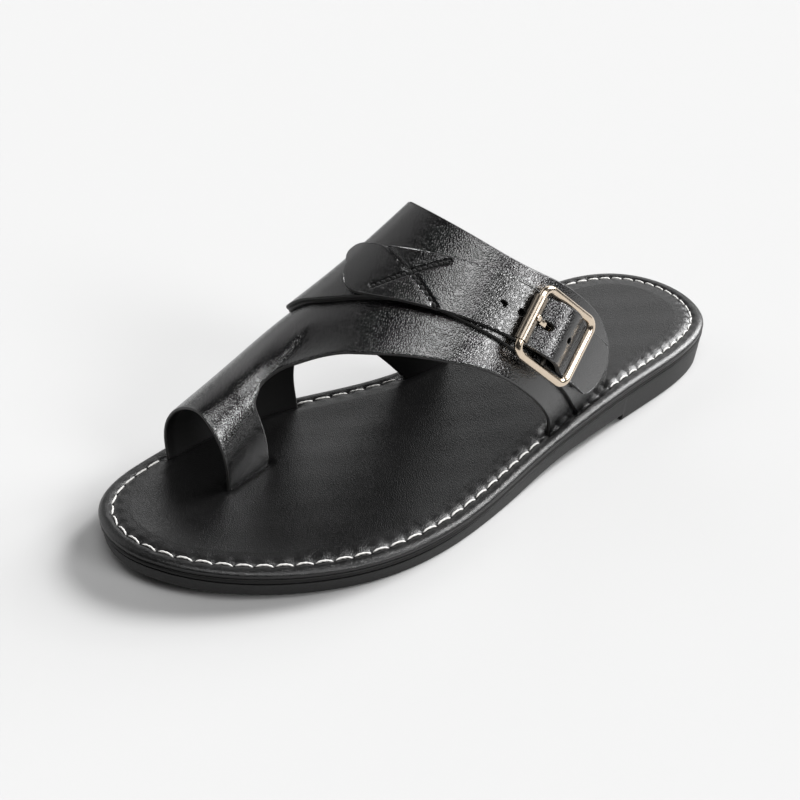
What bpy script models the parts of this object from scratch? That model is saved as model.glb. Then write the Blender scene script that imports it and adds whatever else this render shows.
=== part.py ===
"""Flat sandal for the left foot: sole, footbed, upper with a big-toe loop, and a buckled strap.

Metres, +Z up. The toe points to -Y, the heel to +Y, and the outer (lateral) side of the foot is +X.
The sandal stands on the floor at z = 0.
"""
import math
from collections import namedtuple

import bmesh
import bpy
import numpy as np

# Sole outline: the outermost line of the sole at stations along its length
OutlineRow = namedtuple("OutlineRow", "y medial lateral")
OUTLINE = [
    OutlineRow(-0.1180, -0.0302, 0.0105),
    OutlineRow(-0.1060, -0.0400, 0.0247),
    OutlineRow(-0.0850, -0.0467, 0.0391),
    OutlineRow(-0.0600, -0.0503, 0.0482),
    OutlineRow(-0.0350, -0.0474, 0.0501),
    OutlineRow(-0.0100, -0.0382, 0.0465),
    OutlineRow(0.0150, -0.0302, 0.0412),
    OutlineRow(0.0450, -0.0307, 0.0367),
    OutlineRow(0.0750, -0.0344, 0.0330),
    OutlineRow(0.1000, -0.0329, 0.0290),
    OutlineRow(0.1150, -0.0245, 0.0218),
]
TOE_TIP = (-0.0109, -0.1244)
HEEL_TIP = (-0.0010, 0.1244)
SIDE_STEPS = 44
OUTLINE_FINENESS = 4000

# Side profile of the sole
TOE_SPRING = 0.0047
SPRING_START = -0.045
SPRING_RUN = 0.075
HEEL_RISE = 0.0064
RISE_START = -0.035
RISE_RUN = 0.110
ARCH_LIFT = 0.0030
ARCH_START = -0.005
ARCH_RUN = 0.040
BREAST_Y = 0.064

# Layers of the sole, measured at the ball
LAYER_GAP = 0.0003
OUTSOLE_TOP = 0.0048
MIDSOLE_BOTTOM = OUTSOLE_TOP + LAYER_GAP
MIDSOLE_HEIGHT = 0.0020
INSOLE_BOTTOM = MIDSOLE_BOTTOM + MIDSOLE_HEIGHT + LAYER_GAP

# Edge profiles: offset from the outline and height above the layer's own bottom
EdgeRow = namedtuple("EdgeRow", "offset height")
OUTSOLE_FOOT_OFFSET = -0.0015
OUTSOLE_HEEL_OFFSET = -0.0023
OUTSOLE_TOP_OFFSET = -0.0005
MIDSOLE_EDGE = [
    EdgeRow(-0.0010, 0.0000),
    EdgeRow(-0.0003, 0.0005),
    EdgeRow(-0.0003, 0.0015),
    EdgeRow(-0.0010, 0.0020),
]
INSOLE_EDGE = [
    EdgeRow(-0.0014, 0.0000),
    EdgeRow(-0.0004, 0.0004),
    EdgeRow(0.0000, 0.0011),
    EdgeRow(-0.0004, 0.0018),
    EdgeRow(-0.0014, 0.0024),
    EdgeRow(-0.0028, 0.0026),
    EdgeRow(-0.0040, 0.0024),
    EdgeRow(-0.0045, 0.0022),
    EdgeRow(-0.0051, 0.0025),
    EdgeRow(-0.0070, 0.0031),
    EdgeRow(-0.0105, 0.0035),
]
STITCH_LEVEL = 0.0024
SOLE_COLUMNS = 4
INSOLE_COLUMNS = 6

# The last: half arches in planes across the foot, from the medial to the lateral edge of the footbed
LastRow = namedtuple(
    "LastRow",
    "y apex_x height medial_fullness lateral_fullness "
    "medial_bulge lateral_bulge medial_inset lateral_inset",
)
LAST = [
    LastRow(-0.095, -0.0250, 0.0200, 2.10, 2.6, 0.0030, 0.0000, 0.0075, 0.0075),
    LastRow(-0.080, -0.0250, 0.0252, 2.10, 2.4, 0.0028, 0.0000, 0.0075, 0.0075),
    LastRow(-0.060, -0.0265, 0.0320, 2.20, 2.0, 0.0028, 0.0000, 0.0075, 0.0070),
    LastRow(-0.040, -0.0237, 0.0435, 2.30, 2.0, 0.0025, 0.0010, 0.0075, 0.0065),
    LastRow(-0.020, -0.0197, 0.0555, 2.30, 2.0, 0.0025, 0.0020, 0.0075, 0.0062),
    LastRow(0.005, -0.0157, 0.0708, 2.30, 2.1, 0.0020, 0.0030, 0.0080, 0.0062),
    LastRow(0.030, -0.0117, 0.0852, 2.20, 2.2, 0.0020, 0.0040, 0.0086, 0.0072),
    LastRow(0.060, -0.0077, 0.0970, 2.20, 2.3, 0.0020, 0.0040, 0.0086, 0.0100),
]
ARCH_POINTS = 161

# Leather sheets of the upper
LEATHER = 0.0020
LEG_END = 0.0009
SLOT_FLOOR = 0.0006
SLOT_CLEARANCE = 0.0004
SLOT_TOP = 0.0080
SLOT_STATIONS = 12

# Toe loop: an arch from the medial edge to a slot between the first two toes
LOOP_FRONT_MEDIAL = -0.0817
LOOP_FRONT_INNER = -0.0781
LOOP_REAR = -0.0620
LOOP_REAR_INNER = -0.0577
SLOT_FRONT_X = -0.0143
SLOT_REAR_X = -0.0188
LOOP_FRONT_FULLNESS = 2.1
LOOP_REAR_FULLNESS = 3.6
LOOP_BULGE = 0.0015
LOOP_CORNER = 0.62
LOOP_ROWS = 7
SHARED_COLUMNS = 9
INNER_COLUMNS = 8

# Vamp: free front edge behind the toe loop, and the edge under the instep band; around runs 0 to 1
VampFrontRow = namedtuple("VampFrontRow", "around y")
VAMP_FRONT = [
    VampFrontRow(0.412, -0.0525),
    VampFrontRow(0.455, -0.0458),
    VampFrontRow(0.513, -0.0381),
    VampFrontRow(0.589, -0.0293),
    VampFrontRow(0.692, -0.0151),
    VampFrontRow(0.755, -0.0046),
    VampFrontRow(0.845, 0.0085),
    VampFrontRow(0.957, 0.0225),
    VampFrontRow(1.000, 0.0245),
]
VampRearRow = namedtuple("VampRearRow", "around y")
VAMP_REAR = [
    VampRearRow(0.00, -0.0280),
    VampRearRow(0.10, -0.0280),
    VampRearRow(0.18, -0.0250),
    VampRearRow(0.27, -0.0175),
    VampRearRow(0.36, -0.0130),
    VampRearRow(0.45, -0.0080),
    VampRearRow(0.58, 0.0030),
    VampRearRow(0.75, 0.0200),
    VampRearRow(0.92, 0.0350),
    VampRearRow(1.00, 0.0370),
]
VAMP_ROWS = 9
VAMP_COLUMNS = 22
LOOP_BLEND = 0.45
LOOP_FADE = 0.25

# Instep band over the vamp, two leathers thick away from its legs
BandRow = namedtuple("BandRow", "around front rear")
BAND = [
    BandRow(0.000, 0.0100, 0.0300),
    BandRow(0.080, -0.0005, 0.0255),
    BandRow(0.200, -0.0195, 0.0175),
    BandRow(0.300, -0.0330, 0.0115),
    BandRow(0.365, -0.0308, 0.0095),
    BandRow(0.474, -0.0205, 0.0102),
    BandRow(0.576, -0.0103, 0.0149),
    BandRow(0.659, -0.0034, 0.0226),
    BandRow(0.751, 0.0063, 0.0365),
    BandRow(0.830, 0.0165, 0.0474),
    BandRow(0.923, 0.0293, 0.0553),
    BandRow(1.000, 0.0390, 0.0560),
]
BAND_LIFT = 0.0016
BAND_PAD = 0.0010
BAND_PAD_RISE = 0.20
BAND_ROWS = 8
BAND_COLUMNS = 44

# Buckle strap on the band: its centre line around the foot, and the bar of the buckle that it passes over
StrapRow = namedtuple("StrapRow", "around y")
STRAP = [
    StrapRow(0.398, -0.0160),
    StrapRow(0.459, -0.0128),
    StrapRow(0.524, -0.0076),
    StrapRow(0.577, -0.0026),
    StrapRow(0.655, 0.0064),
    StrapRow(0.715, 0.0140),
    StrapRow(0.768, 0.0208),
    StrapRow(0.829, 0.0292),
    StrapRow(0.900, 0.0405),
    StrapRow(0.938, 0.0465),
]
STRAP_HALF_WIDTH = 0.0095
STRAP_THICKNESS = 0.0018
STRAP_LIFT = BAND_LIFT + LEATHER + BAND_PAD + 0.0005
STRAP_START_RADIUS = 0.0075
STRAP_TIP_RADIUS = 0.0095
STRAP_END_HALF_WIDTH = 0.0006
STRAP_COLUMNS = 46
STRAP_END_STEPS = 6
STRAP_ROWS = 6
STRAP_FINENESS = 200
SMALL_STEP = 0.0005
HUMP_HEIGHT = 0.0049
HUMP_HALF_LENGTH = 0.0108
BUCKLE_AROUND = 0.779
BUCKLE_ASIDE = -0.0008
STRAP_HOLES = (-0.0192, -0.0130, 0.0028)
HOLE_RADIUS = 0.0011
PUNCH_SIDES = 12
PUNCH_BELOW = -0.004
PUNCH_ABOVE = 0.006
PRONG_SLOT = -0.0052
PRONG_SLOT_HALF_LENGTH = 0.0016
PRONG_SLOT_HALF_WIDTH = 0.0014

# Buckle: a round wire frame with a roller on its front bar, a centre bar and a prong
FRAME_HALF_LENGTH = 0.0131
FRAME_FIT_STEPS = 5
FRAME_HALF_WIDTH = 0.0121
FRAME_CORNER = 0.0034
FRAME_WIRE = 0.0015
FRAME_SIDES = 12
CORNER_STEPS = 5
CENTRE_BAR_RADIUS = 0.0008
CENTRE_BAR_SIDES = 10
ROLLER_RADIUS = 0.0024
ROLLER_BORE = 0.0019
ROLLER_HALF_LENGTH = 0.0082
ROLLER_SIDES = 20
ROLLER_LIFT = STRAP_LIFT + STRAP_THICKNESS + ROLLER_RADIUS + 0.0006
REAR_BAR_LIFT = STRAP_LIFT + STRAP_THICKNESS + FRAME_WIRE + 0.0006
PRONG_HALF_WIDTH = 0.0010
PRONG_HALF_THICKNESS = 0.00035
PRONG_EYE = CENTRE_BAR_RADIUS + 0.0002 + PRONG_HALF_THICKNESS
PRONG_EYE_START = math.radians(185)
PRONG_EYE_END = math.radians(-90)
PRONG_EYE_STEPS = 14
PRONG_UNDER_PARTS = (0.3, 0.6, 0.85)
PRONG_BEND = ((-0.0002, -0.5), (-0.0009, 0.55))
PRONG_REST = ROLLER_RADIUS + 0.0003 + PRONG_HALF_THICKNESS
PRONG_REST_START = math.radians(15)
PRONG_REST_END = math.radians(105)
PRONG_REST_STEPS = 7
PRONG_SIDES = 8

EDGE_ANGLE = math.radians(40)
WIRE_ANGLE = math.radians(60)

BLACK_LEATHER = ((0.018, 0.018, 0.020), 0.45, 0.0)
BLACK_FOOTBED = ((0.020, 0.020, 0.022), 0.38, 0.0)
BLACK_RUBBER = ((0.022, 0.022, 0.023), 0.62, 0.0)
PALE_GOLD = ((0.74, 0.60, 0.44), 0.18, 1.0)


def clear_scene():
    """Remove every object that is in the scene."""
    for thing in list(bpy.data.objects):
        bpy.data.objects.remove(thing, do_unlink=True)


def make_material(name, look):
    """Principled material from a colour, a roughness and a metallic value."""
    colour, roughness, metallic = look
    material = bpy.data.materials.new(name)
    material.use_nodes = True
    shader = material.node_tree.nodes["Principled BSDF"]
    shader.inputs["Base Color"].default_value = (*colour, 1.0)
    shader.inputs["Roughness"].default_value = roughness
    shader.inputs["Metallic"].default_value = metallic
    return material


def make_object(name, verts, faces, look=None, sharp_angle=EDGE_ANGLE):
    """One closed mesh object with faces turned outwards."""
    mesh = bpy.data.meshes.new(name)
    mesh.from_pydata([tuple(map(float, v)) for v in verts], [], faces)
    shape = bmesh.new()
    shape.from_mesh(mesh)
    bmesh.ops.recalc_face_normals(shape, faces=shape.faces)
    shape.to_mesh(mesh)
    shape.free()
    mesh.shade_smooth()
    mesh.set_sharp_from_angle(angle=sharp_angle)
    thing = bpy.data.objects.new(name, mesh)
    bpy.context.scene.collection.objects.link(thing)
    if look:
        mesh.materials.append(make_material(name, look))
    return thing


def cut_or_join(target, tool, operation):
    """Add an exact Boolean to target and hide its tool."""
    tool.hide_render = True
    tool.display_type = "WIRE"
    step = target.modifiers.new(tool.name, "BOOLEAN")
    step.operation = operation
    step.solver = "EXACT"
    step.object = tool


def smoothstep(value):
    """Smooth ramp from 0 to 1, flat at both ends."""
    value = np.clip(value, 0.0, 1.0)
    return value * value * (3.0 - 2.0 * value)


def through_rows(rows, key, name, at):
    """Smooth curve through one column of a table, read at any place of its key column."""
    keys = np.array([getattr(row, key) for row in rows])
    values = np.array([getattr(row, name) for row in rows])
    slopes = np.empty_like(values)
    slopes[1:-1] = (values[2:] - values[:-2]) / (keys[2:] - keys[:-2])
    slopes[0] = (values[1] - values[0]) / (keys[1] - keys[0])
    slopes[-1] = (values[-1] - values[-2]) / (keys[-1] - keys[-2])
    at = np.clip(np.asarray(at, float), keys[0], keys[-1])
    k = np.clip(np.searchsorted(keys, at) - 1, 0, len(keys) - 2)
    span = keys[k + 1] - keys[k]
    u = (at - keys[k]) / span
    start = values[k] * (1 + 2 * u) * (1 - u) ** 2 + slopes[k] * span * u * (1 - u) ** 2
    end = values[k + 1] * u * u * (3 - 2 * u) + slopes[k + 1] * span * u * u * (u - 1)
    return start + end


def profile(y):
    """Rise of the foot's line above the ball: toe spring and heel rise."""
    spring = np.clip((SPRING_START - y) / SPRING_RUN, 0.0, 1.0) ** 2
    return TOE_SPRING * spring + HEEL_RISE * smoothstep((y - RISE_START) / RISE_RUN)


def arch_bottom(y):
    """Underside of the outsole in front of the heel."""
    spring = np.clip((SPRING_START - y) / SPRING_RUN, 0.0, 1.0) ** 2
    return TOE_SPRING * spring + ARCH_LIFT * smoothstep((y - ARCH_START) / ARCH_RUN)


def closed_spline(points, count):
    """Periodic cubic spline through the points, read at count places, with the place of each point."""
    points = np.asarray(points, float)
    steps = np.linalg.norm(np.roll(points, -1, axis=0) - points, axis=1)
    size = len(points)
    matrix = np.zeros((size, size))
    right = np.zeros((size, 2))
    for i in range(size):
        before, after = steps[i - 1], steps[i]
        matrix[i, i - 1] += after
        matrix[i, i] += 2.0 * (before + after)
        matrix[i, (i + 1) % size] += before
        chord_before = (points[i] - points[i - 1]) / before
        chord_after = (points[(i + 1) % size] - points[i]) / after
        right[i] = 3.0 * (after * chord_before + before * chord_after)
    slopes = np.linalg.solve(matrix, right)
    knots = np.concatenate(([0.0], np.cumsum(steps)))
    places = np.linspace(0.0, knots[-1], count, endpoint=False)
    k = np.clip(np.searchsorted(knots, places, side="right") - 1, 0, size - 1)
    u = ((places - knots[k]) / steps[k])[:, None]
    span = steps[k][:, None]
    after = (k + 1) % size
    start = points[k] * (1 + 2 * u) * (1 - u) ** 2 + slopes[k] * span * u * (1 - u) ** 2
    end = points[after] * u * u * (3 - 2 * u) + slopes[after] * span * u * u * (u - 1)
    return start + end


def resample(line, count):
    """Points at even steps along an open line, both ends kept."""
    steps = np.linalg.norm(np.diff(line, axis=0), axis=1)
    run = np.concatenate(([0.0], np.cumsum(steps)))
    places = np.linspace(0.0, run[-1], count)
    return np.stack([np.interp(places, run, line[:, k]) for k in range(line.shape[1])], axis=1)


def sole_outline():
    """Ring of points from the toe tip along the lateral side to the heel and back, and outward normals."""
    lateral = [(row.lateral, row.y) for row in OUTLINE]
    medial = [(row.medial, row.y) for row in reversed(OUTLINE)]
    dense = closed_spline([TOE_TIP, *lateral, HEEL_TIP, *medial], OUTLINE_FINENESS)
    toe = int(np.argmin(dense[:, 1]))
    dense = np.roll(dense, -toe, axis=0)
    heel = int(np.argmax(dense[:, 1]))
    outer = resample(dense[:heel + 1], SIDE_STEPS + 1)
    inner = resample(np.vstack((dense[heel:], dense[:1])), SIDE_STEPS + 1)
    ring = np.vstack((outer[:-1], inner[:-1]))
    along = np.roll(ring, -1, axis=0) - np.roll(ring, 1, axis=0)
    normals = np.stack((along[:, 1], -along[:, 0]), axis=1)
    return ring, normals / np.linalg.norm(normals, axis=1)[:, None]


RING, RING_NORMALS = sole_outline()
RING_SIZE = len(RING)


def edge_x(y, side):
    """Sole edge at a station; side is -1 for medial and 1 for lateral."""
    half = RING[:SIDE_STEPS + 1] if side > 0 else np.vstack((RING[SIDE_STEPS:], RING[:1]))[::-1]
    return np.interp(y, half[:, 1], half[:, 0])


def offset_ring(offset):
    """The outline moved outwards by an offset, which may change from point to point."""
    return RING + RING_NORMALS * np.reshape(offset, (-1, 1))


def ladder(ring, columns):
    """Points and faces that fill a ring with rows from its medial to its lateral side.

    Faces index the ring first and then the added points.
    """
    points = []
    rows = [[0]]
    for i in range(1, SIDE_STEPS):
        medial, lateral = RING_SIZE - i, i
        inside = []
        for j in range(1, columns):
            inside.append(RING_SIZE + len(points))
            points.append(ring[medial] + (ring[lateral] - ring[medial]) * j / columns)
        rows.append([medial, *inside, lateral])
    rows.append([SIDE_STEPS])
    faces = []
    for before, after in zip(rows[:-1], rows[1:]):
        if len(before) == 1:
            faces += [(before[0], after[j + 1], after[j]) for j in range(columns)]
        elif len(after) == 1:
            faces += [(before[j], before[j + 1], after[0]) for j in range(columns)]
        else:
            faces += [(before[j], before[j + 1], after[j + 1], after[j]) for j in range(columns)]
    return np.array(points), faces


def stacked_layer(bottom, edge, columns):
    """Closed layer of the sole: rings up its edge, filled above and below."""
    verts = []
    for row in edge:
        plan = offset_ring(row.offset)
        level = bottom + row.height + profile(plan[:, 1])
        verts.append(np.column_stack((plan, level)))
    faces = []
    for level in range(len(edge) - 1):
        low, high = level * RING_SIZE, (level + 1) * RING_SIZE
        for i in range(RING_SIZE):
            j = (i + 1) % RING_SIZE
            faces.append((low + i, low + j, high + j, high + i))
    total = len(edge) * RING_SIZE
    for row, base in ((edge[0], 0), (edge[-1], total - RING_SIZE)):
        plan, cap = ladder(offset_ring(row.offset), columns)
        verts.append(np.column_stack((plan, bottom + row.height + profile(plan[:, 1]))))
        shift = total - RING_SIZE
        faces += [tuple(base + k if k < RING_SIZE else shift + k for k in face) for face in cap]
        total += len(plan)
    return np.vstack(verts), faces


def make_outsole():
    """Moulded outsole: flat forefoot, raised arch and a heel block behind its breast line."""
    columns = SOLE_COLUMNS
    breast = int(np.argmin(np.abs(RING[:SIDE_STEPS, 1] - BREAST_Y)))
    heel_ring = np.array([breast <= min(i, RING_SIZE - i) for i in range(RING_SIZE)])
    top_plan = offset_ring(OUTSOLE_TOP_OFFSET)
    offset = np.where(heel_ring, OUTSOLE_HEEL_OFFSET, OUTSOLE_FOOT_OFFSET)
    low_plan = offset_ring(offset)
    low_z = np.where(heel_ring, 0.0, arch_bottom(low_plan[:, 1]))
    verts = [np.column_stack((top_plan, OUTSOLE_TOP + profile(top_plan[:, 1])))]
    verts.append(np.column_stack((low_plan, low_z)))
    faces = []
    split = {}
    total = 2 * RING_SIZE
    corners = []
    for i in (breast, RING_SIZE - breast):
        high = verts[0][i]
        low = verts[1][i]
        part = (high[2] - arch_bottom(low[1])) / (high[2] - low[2])
        corners.append(high + (low - high) * part)
        split[i] = total
        total += 1
    verts.append(np.array(corners))
    for i in range(RING_SIZE):
        j = (i + 1) % RING_SIZE
        low_i, low_j = RING_SIZE + i, RING_SIZE + j
        if heel_ring[i] and heel_ring[j]:
            face = [i, j, low_j, low_i]
            if j in split:
                face = [i, j, split[j], low_j, low_i]
            if i in split:
                face = [i, j, low_j, low_i, split[i]]
        else:
            face = [i, j, split.get(j, low_j), split.get(i, low_i)]
        faces.append(tuple(face))
    plan, cap = ladder(top_plan, columns)
    verts.append(np.column_stack((plan, OUTSOLE_TOP + profile(plan[:, 1]))))
    faces += [tuple(k if k < RING_SIZE else total - RING_SIZE + k for k in face) for face in cap]
    total += len(plan)
    plan, cap = ladder(low_plan, columns)
    row_of = np.repeat(np.arange(1, SIDE_STEPS), columns - 1)
    low = np.where(row_of >= breast, 0.0, arch_bottom(plan[:, 1]))
    verts.append(np.column_stack((plan, low)))
    shift = total
    total += len(plan)
    inside = [shift + k for k in np.flatnonzero(row_of == breast)]
    raised = list(range(total, total + len(inside)))
    first, last = corners[1], corners[0]
    steps = np.arange(1, columns)[:, None] / columns
    verts.append(first + (last - first) * steps)
    heel_line = [2 * RING_SIZE - breast, *inside, RING_SIZE + breast]
    arch_line = [split[RING_SIZE - breast], *raised, split[breast]]
    to_arch = dict(zip(heel_line, arch_line))
    for face in cap:
        where = [RING_SIZE + k if k < RING_SIZE else shift + k - RING_SIZE for k in face]
        rows = [min(k, RING_SIZE - k) if k < RING_SIZE else row_of[k - RING_SIZE] for k in face]
        if min(rows) < breast:
            where = [to_arch.get(k, k) for k in where]
        faces.append(tuple(where))
    for k in range(columns):
        faces.append((heel_line[k], heel_line[k + 1], arch_line[k + 1], arch_line[k]))
    return make_object("outsole", np.vstack(verts), faces, BLACK_RUBBER)


def along_slot(y, front, rear):
    """Value that runs evenly from the front end of the toe slot to its rear end."""
    return front + (rear - front) * (y - LOOP_FRONT_INNER) / (LOOP_REAR_INNER - LOOP_FRONT_INNER)


def arch_section(y, loop=False):
    """Arch of the last at one station, from the medial base to the lateral base or to the toe slot."""
    value = {name: float(through_rows(LAST, "y", name, y)) for name in LastRow._fields[1:]}
    medial_x = edge_x(y, -1) + value["medial_inset"]
    fullness, bulge = value["lateral_fullness"], value["lateral_bulge"]
    lateral_x = edge_x(y, 1) - value["lateral_inset"]
    if loop:
        fullness = along_slot(y, LOOP_FRONT_FULLNESS, LOOP_REAR_FULLNESS)
        bulge = LOOP_BULGE
        lateral_x = along_slot(y, SLOT_FRONT_X, SLOT_REAR_X)
    angle = np.linspace(-math.pi / 2, math.pi / 2, ARCH_POINTS)
    side = np.sign(angle)
    power = 2.0 / np.where(side < 0, value["medial_fullness"], fullness)
    reach = np.where(side < 0, value["apex_x"] - medial_x, lateral_x - value["apex_x"])
    swell = np.where(side < 0, value["medial_bulge"], bulge)
    rise = np.clip(np.cos(angle), 0.0, 1.0) ** power
    x = value["apex_x"] + side * (reach * np.abs(np.sin(angle)) ** power + swell * np.sin(math.pi * rise))
    z = INSOLE_BOTTOM + STITCH_LEVEL + profile(y) + value["height"] * rise
    return np.column_stack((x, np.full_like(x, y), z))


def on_arch(y, around, loop=False):
    """Point of the last, or of the toe loop's arch, at a share of the way around its section."""
    section = arch_section(y, loop)
    run = np.concatenate(([0.0], np.cumsum(np.linalg.norm(np.diff(section, axis=0), axis=1))))
    return np.array([np.interp(around * run[-1], run, section[:, k]) for k in range(3)])


def arch_length(y, loop=False):
    """Girth of a section from base to base."""
    section = arch_section(y, loop)
    return float(np.sum(np.linalg.norm(np.diff(section, axis=0), axis=1)))


def grid_normals(grid):
    """Unit normals of a grid of points, turned away from the foot."""
    across = np.gradient(grid, axis=0)
    around = np.gradient(grid, axis=1)
    normals = np.cross(around, across)
    normals /= np.linalg.norm(normals, axis=2)[..., None]
    middle = grid.shape[1] // 2
    return normals if normals[:, middle, 2].mean() > 0 else -normals


def with_legs(grid, normals):
    """Add the leg ends, which stand in the footbed's slots, below the first and the last base of a grid."""
    for at in (0, -1):
        flat = normals[:, at] * (1.0, 1.0, 0.0)
        flat /= np.linalg.norm(flat, axis=1)[:, None]
        foot = grid[:, at].copy()
        foot[:, 2] = INSOLE_BOTTOM + LEG_END + profile(foot[:, 1])
        place = 0 if at == 0 else grid.shape[1]
        grid = np.insert(grid, place, foot, axis=1)
        normals[:, at] = flat
        normals = np.insert(normals, place, flat, axis=1)
    return grid, normals


def thick_sheet(points, normals, faces, inner, outer):
    """Closed sheet from a surface: two skins at offsets along the normals, and the rim between them."""
    count = len(points)
    low = points + normals * np.reshape(inner, (-1, 1))
    high = points + normals * np.reshape(outer, (-1, 1))
    uses = {}
    for face in faces:
        for a, b in zip(face, face[1:] + face[:1]):
            uses[frozenset((a, b))] = uses.get(frozenset((a, b)), []) + [(a, b)]
    skins = [tuple(reversed(face)) for face in faces]
    skins += [tuple(count + k for k in face) for face in faces]
    rim = [(a, b, count + b, count + a) for (a, b), *more in uses.values() if not more]
    return np.vstack((low, high)), skins + rim


def grid_faces(names):
    """Quads between neighbouring entries of a grid of vertex numbers."""
    corners = (names[:-1, :-1], names[:-1, 1:], names[1:, 1:], names[1:, :-1])
    return [tuple(map(int, quad)) for quad in zip(*(corner.ravel() for corner in corners))]


def thick_grid(grid, normals, inner, outer):
    """Closed sheet from a grid of points and the normals there."""
    names = np.arange(grid.shape[0] * grid.shape[1]).reshape(grid.shape[:2])
    return thick_sheet(grid.reshape(-1, 3), normals.reshape(-1, 3), grid_faces(names), inner, outer)


def front_piece():
    """Surface of the vamp with its toe loop: points, normals and faces."""
    inner = np.linspace(LOOP_CORNER, 1.0, INNER_COLUMNS + 1)
    shared = np.linspace(0.0, LOOP_CORNER, SHARED_COLUMNS + 1)
    ways = np.concatenate((shared, inner[1:]))
    loop = np.empty((LOOP_ROWS + 1, len(ways), 3))
    for j, way in enumerate(ways):
        front = LOOP_FRONT_MEDIAL + (LOOP_FRONT_INNER - LOOP_FRONT_MEDIAL) * way
        past = smoothstep((way - LOOP_CORNER) / (1.0 - LOOP_CORNER))
        rear = LOOP_REAR + (LOOP_REAR_INNER - LOOP_REAR) * past
        for i in range(LOOP_ROWS + 1):
            loop[i, j] = on_arch(front + (rear - front) * i / LOOP_ROWS, way, loop=True)
    girth_share = arch_length(LOOP_REAR, loop=True) / arch_length(LOOP_REAR)
    corner = VampFrontRow(LOOP_CORNER * girth_share, LOOP_REAR)
    front_rows = [corner, *VAMP_FRONT]
    free = np.linspace(corner.around, 1.0, VAMP_COLUMNS + 1)
    arounds = np.concatenate((shared * girth_share, free[1:]))
    vamp = np.empty((VAMP_ROWS + 1, len(arounds), 3))
    misfit = np.zeros(3)
    for j, around in enumerate(arounds):
        front = LOOP_REAR if j <= SHARED_COLUMNS else float(through_rows(front_rows, "around", "y", around))
        rear = float(through_rows(VAMP_REAR, "around", "y", around))
        if j <= SHARED_COLUMNS:
            misfit = loop[-1, j] - on_arch(front, around)
            fade = 1.0
        else:
            fade = 1.0 - smoothstep((around - corner.around) / (1.0 - corner.around) / LOOP_FADE)
        for i in range(VAMP_ROWS + 1):
            part = i / VAMP_ROWS
            blend = fade * (1.0 - smoothstep(part / LOOP_BLEND))
            vamp[i, j] = on_arch(front + (rear - front) * part, around) + misfit * blend
    loop_normals = grid_normals(loop)
    vamp_normals = grid_normals(vamp)
    seam = loop_normals[-1, :SHARED_COLUMNS + 1] + vamp_normals[0, :SHARED_COLUMNS + 1]
    seam /= np.linalg.norm(seam, axis=1)[:, None]
    loop_normals[-1, :SHARED_COLUMNS + 1] = seam
    vamp_normals[0, :SHARED_COLUMNS + 1] = seam
    loop, loop_normals = with_legs(loop, loop_normals)
    vamp, vamp_normals = with_legs(vamp, vamp_normals)
    loop_names = np.arange(loop.shape[0] * loop.shape[1]).reshape(loop.shape[:2])
    vamp_names = loop_names.size + np.arange(vamp.shape[0] * vamp.shape[1]).reshape(vamp.shape[:2])
    joined = SHARED_COLUMNS + 2
    vamp_names[0, :joined] = loop_names[-1, :joined]
    points = np.vstack((loop.reshape(-1, 3), vamp.reshape(-1, 3)))
    normals = np.vstack((loop_normals.reshape(-1, 3), vamp_normals.reshape(-1, 3)))
    faces = grid_faces(loop_names) + grid_faces(vamp_names)
    used = sorted({k for face in faces for k in face})
    new = {k: n for n, k in enumerate(used)}
    return points[used], normals[used], [tuple(new[k] for k in face) for face in faces]


def make_upper():
    """One hollow solid: the vamp with its toe loop, and the instep band joined on top of it."""
    points, normals, faces = front_piece()
    verts, skins = thick_sheet(points, normals, faces, 0.0, LEATHER)
    upper = make_object("upper", verts, skins, BLACK_LEATHER)
    grid = np.empty((BAND_ROWS + 1, BAND_COLUMNS + 1, 3))
    arounds = np.linspace(0.0, 1.0, BAND_COLUMNS + 1)
    for j, around in enumerate(arounds):
        front = float(through_rows(BAND, "around", "front", around))
        rear = float(through_rows(BAND, "around", "rear", around))
        for i in range(BAND_ROWS + 1):
            grid[i, j] = on_arch(front + (rear - front) * i / BAND_ROWS, around)
    grid, normals = with_legs(grid, grid_normals(grid))
    pad = BAND_PAD * smoothstep(np.minimum(arounds, 1.0 - arounds) / BAND_PAD_RISE)
    top = np.tile(BAND_LIFT + LEATHER + np.concatenate(([0.0], pad, [0.0])), BAND_ROWS + 1)
    verts, skins = thick_grid(grid, normals, BAND_LIFT, top)
    cut_or_join(upper, make_object("instep_band_form", verts, skins), "UNION")
    return upper


def slot_cutter(name, line, outward, inner, outer):
    """Prism along a line on the footbed, from the slot's floor to well above the surface."""
    flat = outward * (1.0, 1.0, 0.0)
    flat /= np.linalg.norm(flat, axis=1)[:, None]
    near = line + flat * (inner - SLOT_CLEARANCE)
    far = line + flat * (outer + SLOT_CLEARANCE)
    rings = []
    for level in (SLOT_FLOOR, SLOT_TOP):
        for side in (near, far):
            lifted = side.copy()
            lifted[:, 2] = INSOLE_BOTTOM + level + profile(line[:, 1])
            rings.append(lifted)
    count = len(line)
    low_near, low_far, top_near, top_far = (np.arange(count) + k * count for k in range(4))
    faces = []
    for a, b in ((low_near, low_far), (low_far, top_far), (top_far, top_near), (top_near, low_near)):
        faces += [(int(a[i]), int(b[i]), int(b[i + 1]), int(a[i + 1])) for i in range(count - 1)]
    for end in (0, -1):
        faces.append((int(low_near[end]), int(low_far[end]), int(top_far[end]), int(top_near[end])))
    return make_object(name, np.vstack(rings), faces)


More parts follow.
